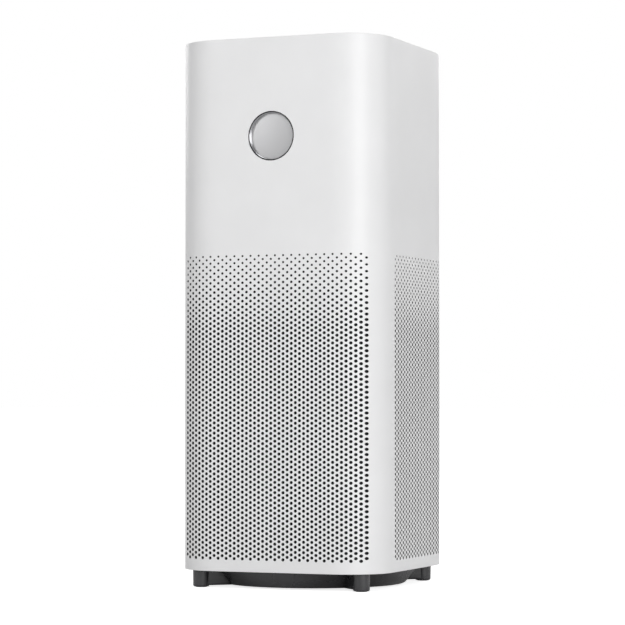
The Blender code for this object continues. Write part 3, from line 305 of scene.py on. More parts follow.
heights = np.unique(np.round(np.concatenate([
    foot_steps, [INLET_Z - INLET_HALF_HEIGHT, FIELD_BOTTOM, INLET_Z + INLET_HALF_HEIGHT],
    [OPENING_BOTTOM, FIELD_TOP, OPENING_TOP], np.linspace(DISPLAY_Z - display_edge, DISPLAY_Z + display_edge, 14),
    BACK_Z + slot_edges.ravel(), [BACK_Z - FLAP_HALF_HEIGHT, BACK_Z + FLAP_HALF_HEIGHT],
    BRIGHTNESS_Z + np.linspace(-BUTTON_CELLS, BUTTON_CELLS, 9), head_steps,
]), 6))
insets = np.interp(heights, foot_steps, [EDGE_ROUND, EDGE_STEP, 0])
insets += np.interp(heights, head_steps, [0, EDGE_STEP, EDGE_ROUND])
outer_wall = np.empty((len(outline), len(heights), 3))
outer_wall[..., 2] = heights
inner_wall = outer_wall.copy()
inner_wall[..., :2] = moved_in(outline, WALL)[:, None]
for row, inset in enumerate(insets):
    outer_wall[:, row, :2] = moved_in(outline, inset)


def row_at(height):
    return int(np.argmin(np.abs(heights - height)))


def column_at(x, y):
    return int(np.argmin(np.hypot(outline[:, 0] - x, outline[:, 1] - y)))


def rear_column(x):
    return column_at(x, side_of(abs(x)))


def hole_cells(columns, z, reach, *hole):
    """A patch of cells between two columns, that far above and below a height, with its hole."""
    return *columns, row_at(z - reach), row_at(z + reach), *hole


kept = np.ones((len(outline), len(heights) - 1), bool)
for columns, quarter in ((front, 0), (right, 1), (-right[::-1], 3)):
    first, last = on_side(columns[[0, -1]], quarter)
    kept[column_at(*first) : column_at(*last), row_at(FIELD_BOTTOM) : row_at(FIELD_TOP)] = False
for x_low, x_high, z_low, z_high in (
    (-DOOR_EDGE, DOOR_EDGE, OPENING_BOTTOM, OPENING_TOP),
    (-INLET_HALF_WIDTH, INLET_HALF_WIDTH, INLET_Z - INLET_HALF_HEIGHT, INLET_Z + INLET_HALF_HEIGHT),
    (-FLAP_FAR, -FLAP_NEAR, BACK_Z - FLAP_HALF_HEIGHT, BACK_Z + FLAP_HALF_HEIGHT),
):
    kept[rear_column(x_high) : rear_column(x_low), row_at(z_low) : row_at(z_high)] = False
display_columns = column_at(-display_edge, -HALF), column_at(display_edge, -HALF)
button_columns = rear_column(BUTTON_CELLS), rear_column(-BUTTON_CELLS)
slot_columns = rear_column(SLOT_FAR), rear_column(SLOT_NEAR)
patches = [
    hole_cells(display_columns, DISPLAY_Z, display_edge, (0, -HALF, DISPLAY_Z), DISPLAY_HOLE, 0),
    hole_cells(button_columns, BRIGHTNESS_Z, BUTTON_CELLS, (0, HALF, BRIGHTNESS_Z), BRIGHTNESS_HOLE, 0),
]
for lift in SLOT_LIFTS:
    spot = (SLOT_X, HALF, BACK_Z + lift)
    patches.append(hole_cells(slot_columns, BACK_Z + lift, 0.003, spot, SLOT_RADIUS, SLOT_HALF_CORE))
white_moulding = moulding("white_moulding", (0.84, 0.84, 0.845), 0.42)
# The near-black finish is painted shade: it covers the inside faces of the shell, the drilled walls, the door and
# the top panel, whose real plastic is white and only lies in shade.
painted_shade_inside = moulding("painted_shade_inside", (0.03, 0.03, 0.031), 0.6)
points, groups = walled_sheet(outer_wall, inner_wall, kept, patches, wrap=True)
on_outside = outer_wall.size // 3
straight_out = np.zeros((len(points), 3))
straight_out[:on_outside] = np.repeat(outline_normal(outline), len(heights), 0)
straight_out[2 * on_outside :, 1] = np.sign(points[2 * on_outside :, 1])
level = groups[0] % len(heights)
flat = ~((level < 2) | (level > len(heights) - 3)).any(1) | (groups[0] >= on_outside).any(1)
solid(
    "shell_body", (points, [groups[0][flat], groups[0][~flat], *groups[1:]]),
    [white_moulding, painted_shade_inside], "cabinet", "outer_shell",
    slots=[0, 0, 1, 0], normals=(straight_out, [True, False, False, False]),
)


# --- Air holes in the front and the sides ---
# The lower shell is drilled with staggered round holes that grow from pinpricks in the top rows to full size
# a few rows down. Each field is moulded in the shell, and its holes run straight in, square to the side they
# are on. The holes' walls are dark grey and the fields' backs near-black: painted shade inside the holes,
# whose real walls are white plastic.
THIN_WALL = 0.0014
FULL_HOLE = 0.0044
FIRST_HOLE = 0.0029
GROWING_ROWS = 24
GROWTH = 0.7
# Painted shade: the holes' walls are white plastic, and this dark grey stands in for the shade inside them.
painted_shade_hole_walls = moulding("painted_shade_hole_walls", (0.12, 0.12, 0.12), 0.5)


def drilled_wall(name, columns, rows, bottom, quarter, body):
    """A drilled wall: every hole sits in a six-sided cell shared with its neighbours, twelve points round each
    hole on both faces; half cells fill up the straight edges."""
    third = COLUMN_PITCH / 3
    levels = np.concatenate([[FIELD_TOP], rows, [bottom]])
    every = np.arange(len(levels))
    last = len(levels) - 1
    count = len(columns)
    across, height, lattice = [], [], {}

    def placed(at_across, at_height):
        """Adds points, and gives their numbers."""
        start = sum(map(len, across))
        across.append(at_across)
        height.append(at_height)
        return start + np.arange(len(at_across))

    def cell_side(column, side, at, own):
        lattice[column, side] = np.full(len(levels), -1)
        lattice[column, side][own] = placed(np.full(len(own), at), levels[own])

    for column in range(count):
        for side in (-1, 1):
            cell_side(column, side, columns[column] + side * third, every[(every + column) % 2 == 1])
    edge_levels = np.concatenate([[0], np.arange(2, last, 2), [last]])
    cell_side(-1, 1, columns[0] - 2 * third, edge_levels)
    cell_side(count, -1, columns[-1] + 2 * third, edge_levels)
    size = FIRST_HOLE + (FULL_HOLE - FIRST_HOLE) * np.clip((every - 1) / GROWING_ROWS, 0, 1) ** GROWTH
    turns = 2 * math.pi * np.arange(12) / 12
    pentagons, rings = [], []
    for column in range(count):
        holes = every[1:-1][(every[1:-1] + column) % 2 == 0]
        low, high = holes + 1, holes - 1
        radius = size[holes][:, None] / 2
        ring_across = columns[column] + radius * np.cos(turns)
        ring_height = levels[holes][:, None] + radius * np.sin(turns)
        ring = placed(ring_across.ravel(), ring_height.ravel()).reshape(-1, 12)
        cell = np.stack([
            lattice[column + 1, -1][holes], lattice[column, 1][high], lattice[column, -1][high],
            lattice[column - 1, 1][holes], lattice[column, -1][low], lattice[column, 1][low],
        ], 1)
        for q in range(6):
            two, three = (q, (q + 1) % 6), ((2 * q + 2) % 12, 2 * q + 1, 2 * q)
            pentagons.append(np.concatenate([cell[:, two], ring[:, three]], 1))
        rings.append(ring)
    left, right = lattice[-1, 1], lattice[count, -1]
    middle = np.arange(3, last - 1, 2)
    triangles = np.concatenate([
        np.stack([left[middle - 1], left[middle + 1], lattice[0, -1][middle]], 1),
        np.stack([right[middle + 1], right[middle - 1], lattice[count - 1, 1][middle]], 1),
    ])
    quads = []
    for c in range(2, count - 2, 2):
        quads.append([lattice[c - 1, 1][0], lattice[c, -1][1], lattice[c, 1][1], lattice[c + 1, -1][0]])
        quads.append([
            lattice[c + 1, -1][last], lattice[c, 1][last - 1], lattice[c, -1][last - 1], lattice[c - 1, 1][last]
        ])
    a, b = lattice[0, -1], lattice[0, 1]
    y, z = lattice[count - 1, -1], lattice[count - 1, 1]
    corner_cells = [
        [left[0], left[2], a[1], b[1], lattice[1, -1][0]],
        [right[2], right[0], lattice[count - 2, 1][0], y[1], z[1]],
        [left[last - 2], left[last], lattice[1, -1][last], b[last - 1], a[last - 1]],
        [right[last], right[last - 2], z[last - 1], y[last - 1], lattice[count - 2, 1][last]],
    ]
    across, height = np.concatenate(across), np.concatenate(height)
    total = len(across)
    outer = np.stack([across, -side_of(across), height], 1)
    inner = np.stack([across, -side_of(across, THIN_WALL), height], 1)
    share = np.maximum(np.abs(across) - FLAT_HALF, 0) / CORNER_EXTENT
    other = (1 - share**CORNER_POWER) ** (1 / CORNER_POWER)
    out = np.stack([np.sign(across) * share ** (CORNER_POWER - 1), -(other ** (CORNER_POWER - 1)), 0 * share], 1)
    out = np.concatenate([out / np.linalg.norm(out, axis=1)[:, None], np.zeros_like(out)])
    outward = [np.concatenate(pentagons + [np.array(corner_cells)]), np.array(quads), triangles]
    ring = np.concatenate(rings)
    following = np.roll(ring, -1, 1)
    tube = np.stack([ring, following, following + total, ring + total], 2).reshape(-1, 4)
    inside_sides = [lattice[c, side] for c in range(1, count, 2) for side in (-1, 1)]
    top_edge, low_edge = (np.array([side[row] for side in (left, *inside_sides, right)]) for row in (0, last))
    border = np.concatenate([low_edge, right[right >= 0][::-1][1:], top_edge[::-1][1:], left[left >= 0][1:-1]])
    after = np.roll(border, -1)
    rim = np.stack([after, border, border + total, after + total], 1)
    groups = outward + [g[:, ::-1] + total for g in outward] + [tube, rim]
    # Outer faces are white; back faces and hole walls take the painted shade finishes.
    return solid(
        name, (turned(np.concatenate([outer, inner]), quarter), groups),
        [white_moulding, painted_shade_inside, painted_shade_hole_walls], body,
        slots=[0, 0, 0, 1, 1, 1, 2, 0], normals=(turned(out, quarter), [True] * 3 + [False] * 5),
    )


drilled_wall("front_field", FRONT_COLUMNS, ROWS, FIELD_BOTTOM, 0, "cabinet")
drilled_wall("right_field", SIDE_COLUMNS, ROWS, FIELD_BOTTOM, 1, "cabinet")
drilled_wall("left_field", -SIDE_COLUMNS[::-1], ROWS, FIELD_BOTTOM, 3, "cabinet")


# --- Rear door ---
# A drilled ABS panel that fills the opening at the back. It stands on two hooks moulded on its lower edge,
# and has a notch for the latch in its top edge.
DOOR_GAP = 0.0008
DOOR_BOTTOM = 0.0548
DOOR_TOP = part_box("rear_door")[1].z
NOTCH_BOTTOM = 0.4565
NOTCH_HALF = 0.0285
HOOKS = (-0.0675, 0.0675)
HOOK_HALF = 0.0075
DOOR_COLUMNS = (np.arange(41) - 20) * COLUMN_PITCH
door_rows = ROWS[: 2 * int(np.sum(ROWS[0::2] > DOOR_BOTTOM + 0.008)) - 1]
door_field_bottom = door_rows[-1] - HOLE_PITCH / 2


def prism(profile, low, high, across, up, along):
    """A flat outline, anticlockwise across and up, carried straight along a third direction."""
    profile = np.asarray(profile, float)
    base = np.outer(profile[:, 0], across) + np.outer(profile[:, 1], up)
    points = np.concatenate([base + np.multiply(along, low), base + np.multiply(along, high)])
    count = len(profile)
    index = np.arange(count)
    after = np.roll(index, -1)
    sides = np.stack([index, after, after + count, index + count], 1)
    if np.dot(np.cross(across, up), along) < 0:
        return points, [sides[:, ::-1], index[None], index[None, ::-1] + count]
    return points, [sides, index[None, ::-1], index[None] + count]


def together(parts):
    """Several shapes' points and groups as one."""
    points, groups, start = [], [], 0
    for part_points, part_groups in parts:
        groups += [np.asarray(g) + start for g in part_groups]
        points.append(part_points)
        start += len(part_points)
    return np.concatenate(points), groups


def softened(piece, width, segments=2):
    """Gives a piece small rounded edges, with normals that keep the flats flat."""
    bevel = piece.modifiers.new("Edges", "BEVEL")
    bevel.width = width
    bevel.segments = segments
    bevel.limit_method = "ANGLE"
    bevel.angle_limit = math.radians(40)
    bevel.harden_normals = True


door_half = DOOR_EDGE - DOOR_GAP
ends = [-door_half, door_half, -NOTCH_HALF, NOTCH_HALF]
door_stations = np.unique(np.round(np.concatenate([ends, field_stations(DOOR_COLUMNS)]), 7))
door_outline = on_side(door_stations, 2)
door_heights = np.array([DOOR_BOTTOM, door_field_bottom, FIELD_TOP, NOTCH_BOTTOM, DOOR_TOP])
door_outer = np.empty((len(door_outline), len(door_heights), 3))
door_outer[..., :2] = door_outline[:, None]
door_outer[..., 2] = door_heights
door_inner = door_outer.copy()
door_inner[..., :2] = moved_in(door_outline, WALL)[:, None]
kept = np.ones((len(door_outline) - 1, len(door_heights) - 1), bool)
middles = (door_stations[1:] + door_stations[:-1]) / 2
kept[np.abs(middles) < DOOR_COLUMNS[-1] + COLUMN_PITCH * 2 / 3, 1] = False
kept[np.abs(middles) < NOTCH_HALF, 3] = False
points, groups = walled_sheet(door_outer, door_inner, kept)
normals = np.zeros((len(points), 3))
normals[: len(points) // 2] = np.repeat(outline_normal(door_outline), len(door_heights), 0)
# The door's inside face takes the near-black painted shade.
solid(
    "door_panel", (points, groups), [white_moulding, painted_shade_inside], "door", "rear_door",
    slots=[0, 1, 0], normals=(normals, [True, False, False]),
)
drilled_wall("door_field", DOOR_COLUMNS, door_rows, door_field_bottom, 2, "door")
inner_face = HALF - WALL
hook_profile = [
    (inner_face - 0.0035, DOOR_BOTTOM - 0.0078), (inner_face - 0.0009, DOOR_BOTTOM - 0.0078),
    (inner_face - 0.0009, DOOR_BOTTOM + 0.0008), (inner_face + 0.0002, DOOR_BOTTOM + 0.0008),
    (inner_face + 0.0002, DOOR_BOTTOM + 0.0046), (inner_face - 0.0035, DOOR_BOTTOM + 0.0050),
]
hooks = [prism(hook_profile, x - HOOK_HALF, x + HOOK_HALF, (0, 1, 0), (0, 0, 1), (1, 0, 0)) for x in HOOKS]
softened(solid("door_hooks", together(hooks), [white_moulding], "door"), 0.0005)


# --- Base ---
# A dark glossy moulding: a shallow dish that hangs below the shell, four ribs out to the corners and a foot
# at the end of each, with a rubber pad let into its underside.
DISH_RADIUS = 0.1455
DISH = [
    (0, 0.002), (0.126, 0.002), (DISH_RADIUS, 0.0263), (DISH_RADIUS, 0.0273), (0.1430, 0.0273), (0.1235, 0.0045),
    (0, 0.0045),
]
PLATE_BOTTOM, PLATE_TOP = 0.0248, 0.0278
PLATE_INSET = WALL + 0.0003
RIB_HALF, RIB_BOTTOM, RIB_TOP, RIB_START = 0.009, 0.0022, 0.0258, 0.1225
FOOT_PLACE = 0.1175
CORNERS = {"front_left": (-1, -1), "front_right": (1, -1), "rear_right": (1, 1), "rear_left": (-1, 1)}
UP = (0, 0, 1)


def rounded(corners, radii, steps=5):
    """An outline whose listed corners, by number, are curves that start a radius away on either side."""
    corners = [np.array(c, float) for c in corners]
    made = []
    for k, corner in enumerate(corners):
        if k not in radii:
            made.append(corner)
            continue
        before, after = corners[k - 1] - corner, corners[(k + 1) % len(corners)] - corner
        start = corner + before / np.linalg.norm(before) * radii[k]
        end = corner + after / np.linalg.norm(after) * radii[k]
        share = np.linspace(0, 1, steps + 1)[:, None]
        made += list((1 - share) ** 2 * start + 2 * share * (1 - share) * corner + share**2 * end)
    return np.array(made)


def carried(rings, closed=True):
    """Rings of points, (along, around, 3), each joined to the next, the last to the first or the ends capped."""
    index = np.arange(rings.shape[0] * rings.shape[1]).reshape(rings.shape[:2])
    here, after = (index, np.roll(index, -1, 0)) if closed else (index[:-1], index[1:])
    quads = np.stack([here, after, np.roll(after, -1, 1), np.roll(here, -1, 1)], 2).reshape(-1, 4)
    return rings.reshape(-1, 3), [quads] if closed else [quads, index[:1], index[-1:, ::-1]]


def round_about(profile, turns):
    """A profile of (radius, height) at each turn about +Z, as rings of points."""
    profile = np.asarray(profile, float)
    x, y = np.outer(np.cos(turns), profile[:, 0]), np.outer(np.sin(turns), profile[:, 0])
    return np.stack([x, y, np.tile(profile[:, 1], (len(turns), 1))], 2)


def spun(profile, steps=96, middle=(0, 0, 0), facing=None):
    """A profile of (radius, height), outer side upwards, turned about +Z, or about an axis that points out of
    the front or the rear. It starts and ends on the axis, or closes on itself."""
    poles = profile[0][0] == 0 and profile[-1][0] == 0
    rings = round_about(profile[1:-1] if poles else profile, np.linspace(0, 2 * math.pi, steps + 1)[:steps])
    points, groups = carried(rings)
    if poles:
        count = rings.shape[1]
        low, high = len(points), len(points) + 1
        points = np.concatenate([points, [[0, 0, profile[0][1]], [0, 0, profile[-1][1]]]])
        here = np.arange(low).reshape(steps, count)
        after = np.roll(here, -1, 0)
        quads = groups[0].reshape(steps, count, 4)[:, :-1].reshape(-1, 4)
        below = np.stack([np.full(steps, low), after[:, 0], here[:, 0]], 1)
        above = np.stack([np.full(steps, high), here[:, -1], after[:, -1]], 1)
        groups = [quads, np.concatenate([below, above])]
    if facing == "front":
        points = np.stack([points[:, 0], -points[:, 2], points[:, 1]], 1)
    if facing == "rear":
        points = np.stack([points[:, 0], points[:, 2], -points[:, 1]], 1)
    return points + np.asarray(middle), groups


def all_round(across):
    """The whole outline of the housing, from points across one side and evenly turned corners."""
    return np.concatenate([
        np.concatenate([on_side(across, quarter), round_corner(math.pi / 2, 0, 14, quarter)])
        for quarter in range(4)
    ])


dark_moulding = moulding(
    "dark_moulding", (0.035, 0.035, 0.038), 0.27, grain=900, depth=0.000002, variation=0.1, specular=1.0
)
soft_rubber = moulding("soft_rubber", (0.02, 0.02, 0.02), 0.8, grain=2500, depth=0.00005)
corner_outline = all_round(np.linspace(-FLAT_HALF, FLAT_HALF, 9))
plate_edge = moved_in(corner_outline, PLATE_INSET)
hole_edge = corner_outline / np.linalg.norm(corner_outline, axis=1)[:, None] * (DISH_RADIUS - 0.0013)
plate = np.empty((len(plate_edge), 4, 3))
plate[..., :2] = np.stack([plate_edge, plate_edge, hole_edge, hole_edge], 1)
plate[..., 2] = (PLATE_BOTTOM, PLATE_TOP, PLATE_TOP, PLATE_BOTTOM)
base_parts = [spun(rounded(DISH, {1: 0.004, 5: 0.004, 2: 0.0006}), 144), carried(plate)]
rib_profile = rounded([
    (-RIB_HALF, RIB_TOP), (-RIB_HALF, RIB_BOTTOM), (RIB_HALF, RIB_BOTTOM), (RIB_HALF, RIB_TOP)
], {1: 0.0025, 2: 0.0025})
for x, y in CORNERS.values():
    along = np.array([x, y, 0]) / math.sqrt(2)
    base_parts.append(prism(rib_profile, RIB_START, FOOT_PLACE * math.sqrt(2), np.cross(UP, along), UP, along))
solid("base_moulding", together(base_parts), [dark_moulding], "cabinet", "base_pan")
foot_profile = rounded([
    (0, 0.0015), (0.0078, 0.0015), (0.0078, 0.0006), (0.0112, 0.0006), (0.0117, 0.0248), (0, 0.0248)
], {3: 0.0027})
pad_profile = rounded([(0, 0), (0.0075, 0), (0.0075, 0.0012), (0, 0.0012)], {1: 0.0004})
for name, (x, y) in CORNERS.items():
    spot = (x * FOOT_PLACE, y * FOOT_PLACE, 0)
    foot, pad = spun(foot_profile, 64, spot), spun(pad_profile, 48, spot)
    solid("moulded_foot_" + name, foot, [dark_moulding], "cabinet", "foot_" + name)
    solid("rubber_pad_" + name, pad, [soft_rubber], "cabinet", "foot_pad_" + name)


# --- Top panel, ring grille and power button ---
# The top panel lies just below the shell's edge. The grille is one moulding of close rings on twelve arms,
# held in the round outlet by two screws, and the power button with its dished face stands at the front.
TOP_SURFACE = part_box("top_deck")[1].z
TOP_THICKNESS = 0.003
OUTLET_RADIUS = 0.117
BUTTON_Y = middle_of("power_button", 1)
BUTTON_HOLE = 0.0065
GRILLE_LOW, GRILLE_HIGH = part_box("outlet_grille")[0].z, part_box("outlet_grille")[1].z
GRILLE_RIM = 0.1165
RIM_INNER = GRILLE_RIM - 0.0024
FIRST_RING, RING_PITCH = 0.0232, 0.0049
BOSS_PLACE = 0.1098
BOSS_CLEAR = 0.0046
ARMS = 12
grille_moulding = moulding("grille_moulding", (0.20, 0.20, 0.21), 0.45)
deck_outline = all_round(steps_between((-FLAT_HALF, -0.008, 0.008, FLAT_HALF), (8, 8, 8)))
deck_edge = moved_in(deck_outline, PLATE_INSET)
deck_hole = deck_outline / np.linalg.norm(deck_outline, axis=1)[:, None] * OUTLET_RADIUS
shares = np.array([0, 0.25, 0.375, 0.5, 0.625, 0.75, 1])[:, None]
deck_top = np.full((len(deck_edge), len(shares), 3), TOP_SURFACE)
deck_top[..., :2] = deck_edge[:, None] * (1 - shares) + deck_hole[:, None] * shares
kept = np.ones((len(deck_edge), len(shares) - 1), bool)
button_cells = (8, 16, 1, 5, (0, BUTTON_Y, TOP_SURFACE), BUTTON_HOLE, 0)
# The top panel's underside takes the near-black painted shade.
softened(solid(
    "top_panel", walled_sheet(deck_top, deck_top - (0, 0, TOP_THICKNESS), kept, [button_cells], wrap=True),
    [white_moulding, painted_shade_inside], "cabinet", "top_deck", slots=[0, 1, 0],
), 0.0003, 1)

grille_parts = [
    spun(rounded([
        (GRILLE_RIM, GRILLE_LOW), (GRILLE_RIM, GRILLE_HIGH), (RIM_INNER, GRILLE_HIGH), (RIM_INNER, GRILLE_LOW)
    ], {1: 0.0006, 2: 0.0008}, 3), 128),
    spun(rounded([
        (0, GRILLE_LOW + 0.002), (0.0182, GRILLE_LOW + 0.002), (0.0182, GRILLE_HIGH - 0.0006),
        (0.0168, GRILLE_HIGH - 0.0002), (0.0160, GRILLE_HIGH - 0.0006), (0.0100, GRILLE_HIGH - 0.0002),
        (0, GRILLE_HIGH),
    ], {2: 0.0005}, 3), 64),
]
for radius in np.arange(FIRST_RING, GRILLE_RIM - 0.0045, RING_PITCH):
    bar = rounded([
        (radius + 0.0009, GRILLE_LOW + 0.0012), (radius + 0.0007, GRILLE_HIGH - 0.0003),
        (radius - 0.0007, GRILLE_HIGH - 0.0003), (radius - 0.0009, GRILLE_LOW + 0.0012),
    ], {1: 0.0005, 2: 0.0005}, 2)
    if abs(radius - BOSS_PLACE) > BOSS_CLEAR:
        grille_parts.append(spun(bar, 112))
        continue
    meeting = math.acos((radius**2 + BOSS_PLACE**2 - BOSS_CLEAR**2) / (2 * radius * BOSS_PLACE))
    arc = round_about(bar, np.linspace(meeting, math.pi - meeting, 57))
    grille_parts += [carried(arc, closed=False), carried(arc * (-1, -1, 1), closed=False)]
for arm in range(ARMS):
    turn = 2 * math.pi * arm / ARMS
    wide = 0.0015 if arm % 2 == 0 else 0.0008
    along = np.array([math.cos(turn), math.sin(turn), 0])
    reach = BOSS_PLACE - 0.004 if arm in (0, ARMS // 2) else GRILLE_RIM - 0.0015
    low, high = GRILLE_LOW + 0.0006, GRILLE_HIGH - 0.0008
    soft = wide * 0.7
    arm_profile = rounded([(-wide, low), (wide, low), (wide, high), (-wide, high)], {2: soft, 3: soft}, 2)
    grille_parts.append(prism(arm_profile, 0.016, reach, -np.cross(UP, along), UP, along))
boss_profile = [
    (0.0050, GRILLE_LOW + 0.0004), (0.0050, GRILLE_HIGH - 0.0004), (0.0035, GRILLE_HIGH - 0.0004),
    (0.0035, GRILLE_HIGH - 0.0020), (0.0019, GRILLE_HIGH - 0.0020), (0.0019, GRILLE_LOW + 0.0004),
]
grille_parts += [spun(boss_profile, 32, (side * BOSS_PLACE, 0, 0)) for side in (-1, 1)]
solid("ring_grille", together(grille_parts), [grille_moulding], "cabinet", "outlet_grille")

button_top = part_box("power_button")[1].z
flange = TOP_SURFACE - TOP_THICKNESS - 0.0003
button_profile = rounded([
    (0, flange - 0.0015), (0.0072, flange - 0.0015), (0.0072, flange), (0.0060, flange), (0.0060, button_top),
    (0.0048, button_top), (0.0030, button_top - 0.0004), (0, button_top - 0.0006),
], {4: 0.0005, 5: 0.0006})
button = spun(button_profile, 64, (0, BUTTON_Y, 0))
solid("power_cap", button, [white_moulding], "power_key", "power_button")


# --- Display ---
# A polished metal well is let into the front. At its bottom lies a disc with a satin silver face, turned in
# fine circles, which the board behind lights through. A dark band on the ring's outer face and lip is painted
# shade and painted reflection: it stands in for the shadowed gap round the ring and the dark surroundings
# the chrome reflects there.
DISPLAY_CENTRE = (0, -HALF, DISPLAY_Z)
WELL_STEPS = 160
WELL_SET_BACK = 0.0001
RIM_FIRST, RIM_LAST = 3, 11


def turned_metal(name, colour, roughness, fineness, depth, metallic=1.0):
    """Metal turned on a lathe: grooves that run in circles about an axis that points out of the front, from
    noise read along the distance to that axis."""
    material = moulding(name, colour, roughness, metallic=metallic, variation=0.02)
    tree = material.node_tree
    bump = tree.nodes["Bump"].inputs
    place = tree.nodes["Texture Coordinate"].outputs["Object"]
    shift = node(tree, "VectorMath", place, (1, 0, 1), (-DISPLAY_CENTRE[0], 0, -DISPLAY_CENTRE[2]))
    shift.operation = "MULTIPLY_ADD"
    distance = node(tree, "VectorMath", shift.outputs[0])
    distance.operation = "LENGTH"
    grooves = node(tree, "TexNoise", Scale=fineness)
    grooves.noise_dimensions = "1D"
    tree.links.new(distance.outputs["Value"], grooves.inputs["W"])
    tree.links.new(grooves.outputs[0], bump["Height"])
    bump["Distance"].default_value = depth
    return material


polished = turned_metal("polished_chrome", (0.48, 0.48, 0.49), 0.06, 4000, 0.000001)
satin = turned_metal("satin_silver_face", (0.66, 0.66, 0.67), 0.34, 9000, 0.000004, metallic=0.85)
# Painted shade and reflection: a near-black metal for the band round the ring's edge, standing in for the gap's
# shadow and the dark reflection in the chrome.
painted_shade_rim = turned_metal("painted_shade_rim", (0.05, 0.05, 0.052), 0.15, 4000, 0.000001)
bezel_profile = rounded([
    (0.0320, -0.0052), (0.0369, -0.0043), (0.0369, -0.0028), (0.0332, -0.0028), (0.0333, -0.0008), (0.0318, 0.0),
    (0.0305, -0.0052),
], {4: 0.0002, 5: 0.0004}, 4) - (0, WELL_SET_BACK)
points, groups = spun(bezel_profile, WELL_STEPS, DISPLAY_CENTRE, "front")
bands = groups[0].reshape(WELL_STEPS, -1, 4)
band = np.arange(bands.shape[1])
# The bands on the ring's outer face and lip get the painted shade and reflection.
on_rim = (band >= RIM_FIRST) & (band <= RIM_LAST)
solid(
    "display_bezel", (points, [bands[:, ~on_rim].reshape(-1, 4), bands[:, on_rim].reshape(-1, 4)]),
    [polished, painted_shade_rim], "cabinet", "display_ring", slots=[0, 1],
)
disc_profile = [
    (0, -0.0073), (0.0320, -0.0073), (0.0320, -0.0056), (0.0302, -0.0056), (0.0300, -0.0058), (0.0298, -0.0056),
    (0.0250, -0.00535), (0.0200, -0.00516), (0.0150, -0.00501), (0.0100, -0.0049), (0.0050, -0.00484),
    (0, -0.00482),
]
disc = spun(disc_profile, WELL_STEPS, DISPLAY_CENTRE, "front")
solid("display_disc", disc, [satin], "cabinet", "display_lens")


# --- Back fittings ---
# A small flap with louvres covers the particle sensor and turns on two pins at its foot. The brightness
# button is a dished disc, and the mains socket sits at the bottom of the shell.
COVER_LOW, COVER_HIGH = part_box("sensor_cover")
COVER_X = middle_of("sensor_cover", 0)
COVER_HALF = 0.022
LOUVRES = COVER_LOW.z + 0.012 + 0.005 * np.arange(6)
LOUVRE_REACH = 0.0025
KNUCKLE = 0.00125
PIN, PIN_HALF = 0.0007, 0.0238
across_steps = steps_between((-COVER_HALF, -0.016, 0.016, COVER_HALF), (2, 16, 2))
up_steps = np.unique(np.round(np.concatenate([
    [COVER_LOW.z + 0.0013, COVER_LOW.z + 0.006], (LOUVRES[:, None] + (-LOUVRE_REACH, 0, LOUVRE_REACH)).ravel(),
    [COVER_HIGH.z - 0.004, COVER_HIGH.z],
]), 6))
flap_outer = np.empty((len(across_steps), len(up_steps), 3))
flap_outer[..., 0] = (COVER_X - across_steps)[:, None]
flap_outer[..., 1] = HALF
flap_outer[..., 2] = up_steps
kept = np.ones((len(across_steps) - 1, len(up_steps) - 1), bool)
kept[8:12, -1] = False
louvre_cells = []
for louvre in LOUVRES:
    row = int(np.argmin(np.abs(up_steps - louvre + LOUVRE_REACH)))
    louvre_cells.append((2, 18, row, row + 2, (COVER_X, HALF, louvre), 0.0009, 0.0135))
flap_parts = [walled_sheet(flap_outer, flap_outer - (0, WALL - 0.0002, 0), kept, louvre_cells)]
for radius, half in ((KNUCKLE, COVER_HALF), (PIN, PIN_HALF)):
    points, groups = spun([(0, -half), (radius, -half), (radius, half), (0, half)], 24)
    lying = np.stack([points[:, 2], points[:, 0], points[:, 1]], 1)
    flap_parts.append((lying + (COVER_X, HALF - KNUCKLE, COVER_LOW.z + KNUCKLE), groups))
solid(
    "sensor_flap_louvres", together(flap_parts), [white_moulding], "sensor_flap", "sensor_cover"
)
button_profile = rounded([
    (0, -0.0078), (0.0020, -0.0078), (0.0020, -0.0042), (0.0060, -0.0042), (0.0060, -0.0028), (0.0045, -0.0028),
    (0.0045, -0.0002), (0.0036, -0.0002), (0, -0.0007),
], {6: 0.0004, 7: 0.0004})
button = spun(button_profile, 48, (0, HALF, BRIGHTNESS_Z), "rear")
solid("brightness_cap", button, [white_moulding], "brightness_key", "brightness_button")


# --- Painted shade sheets behind the air holes ---
# A near-black sheet with a woven bump lies in the recess behind each drilled wall: painted shade, a dark
# sheet that stands in for the shade inside the body seen through the holes. The real purifier has none.
SHADE_SHEET_NEAR = THIN_WALL + 0.0003
SHADE_SHEET_FAR = THIN_WALL + 0.0003 + 0.0005
SHADE_SHEET_CLEAR = 0.0006
SHADE_SHEET_STEPS = 49
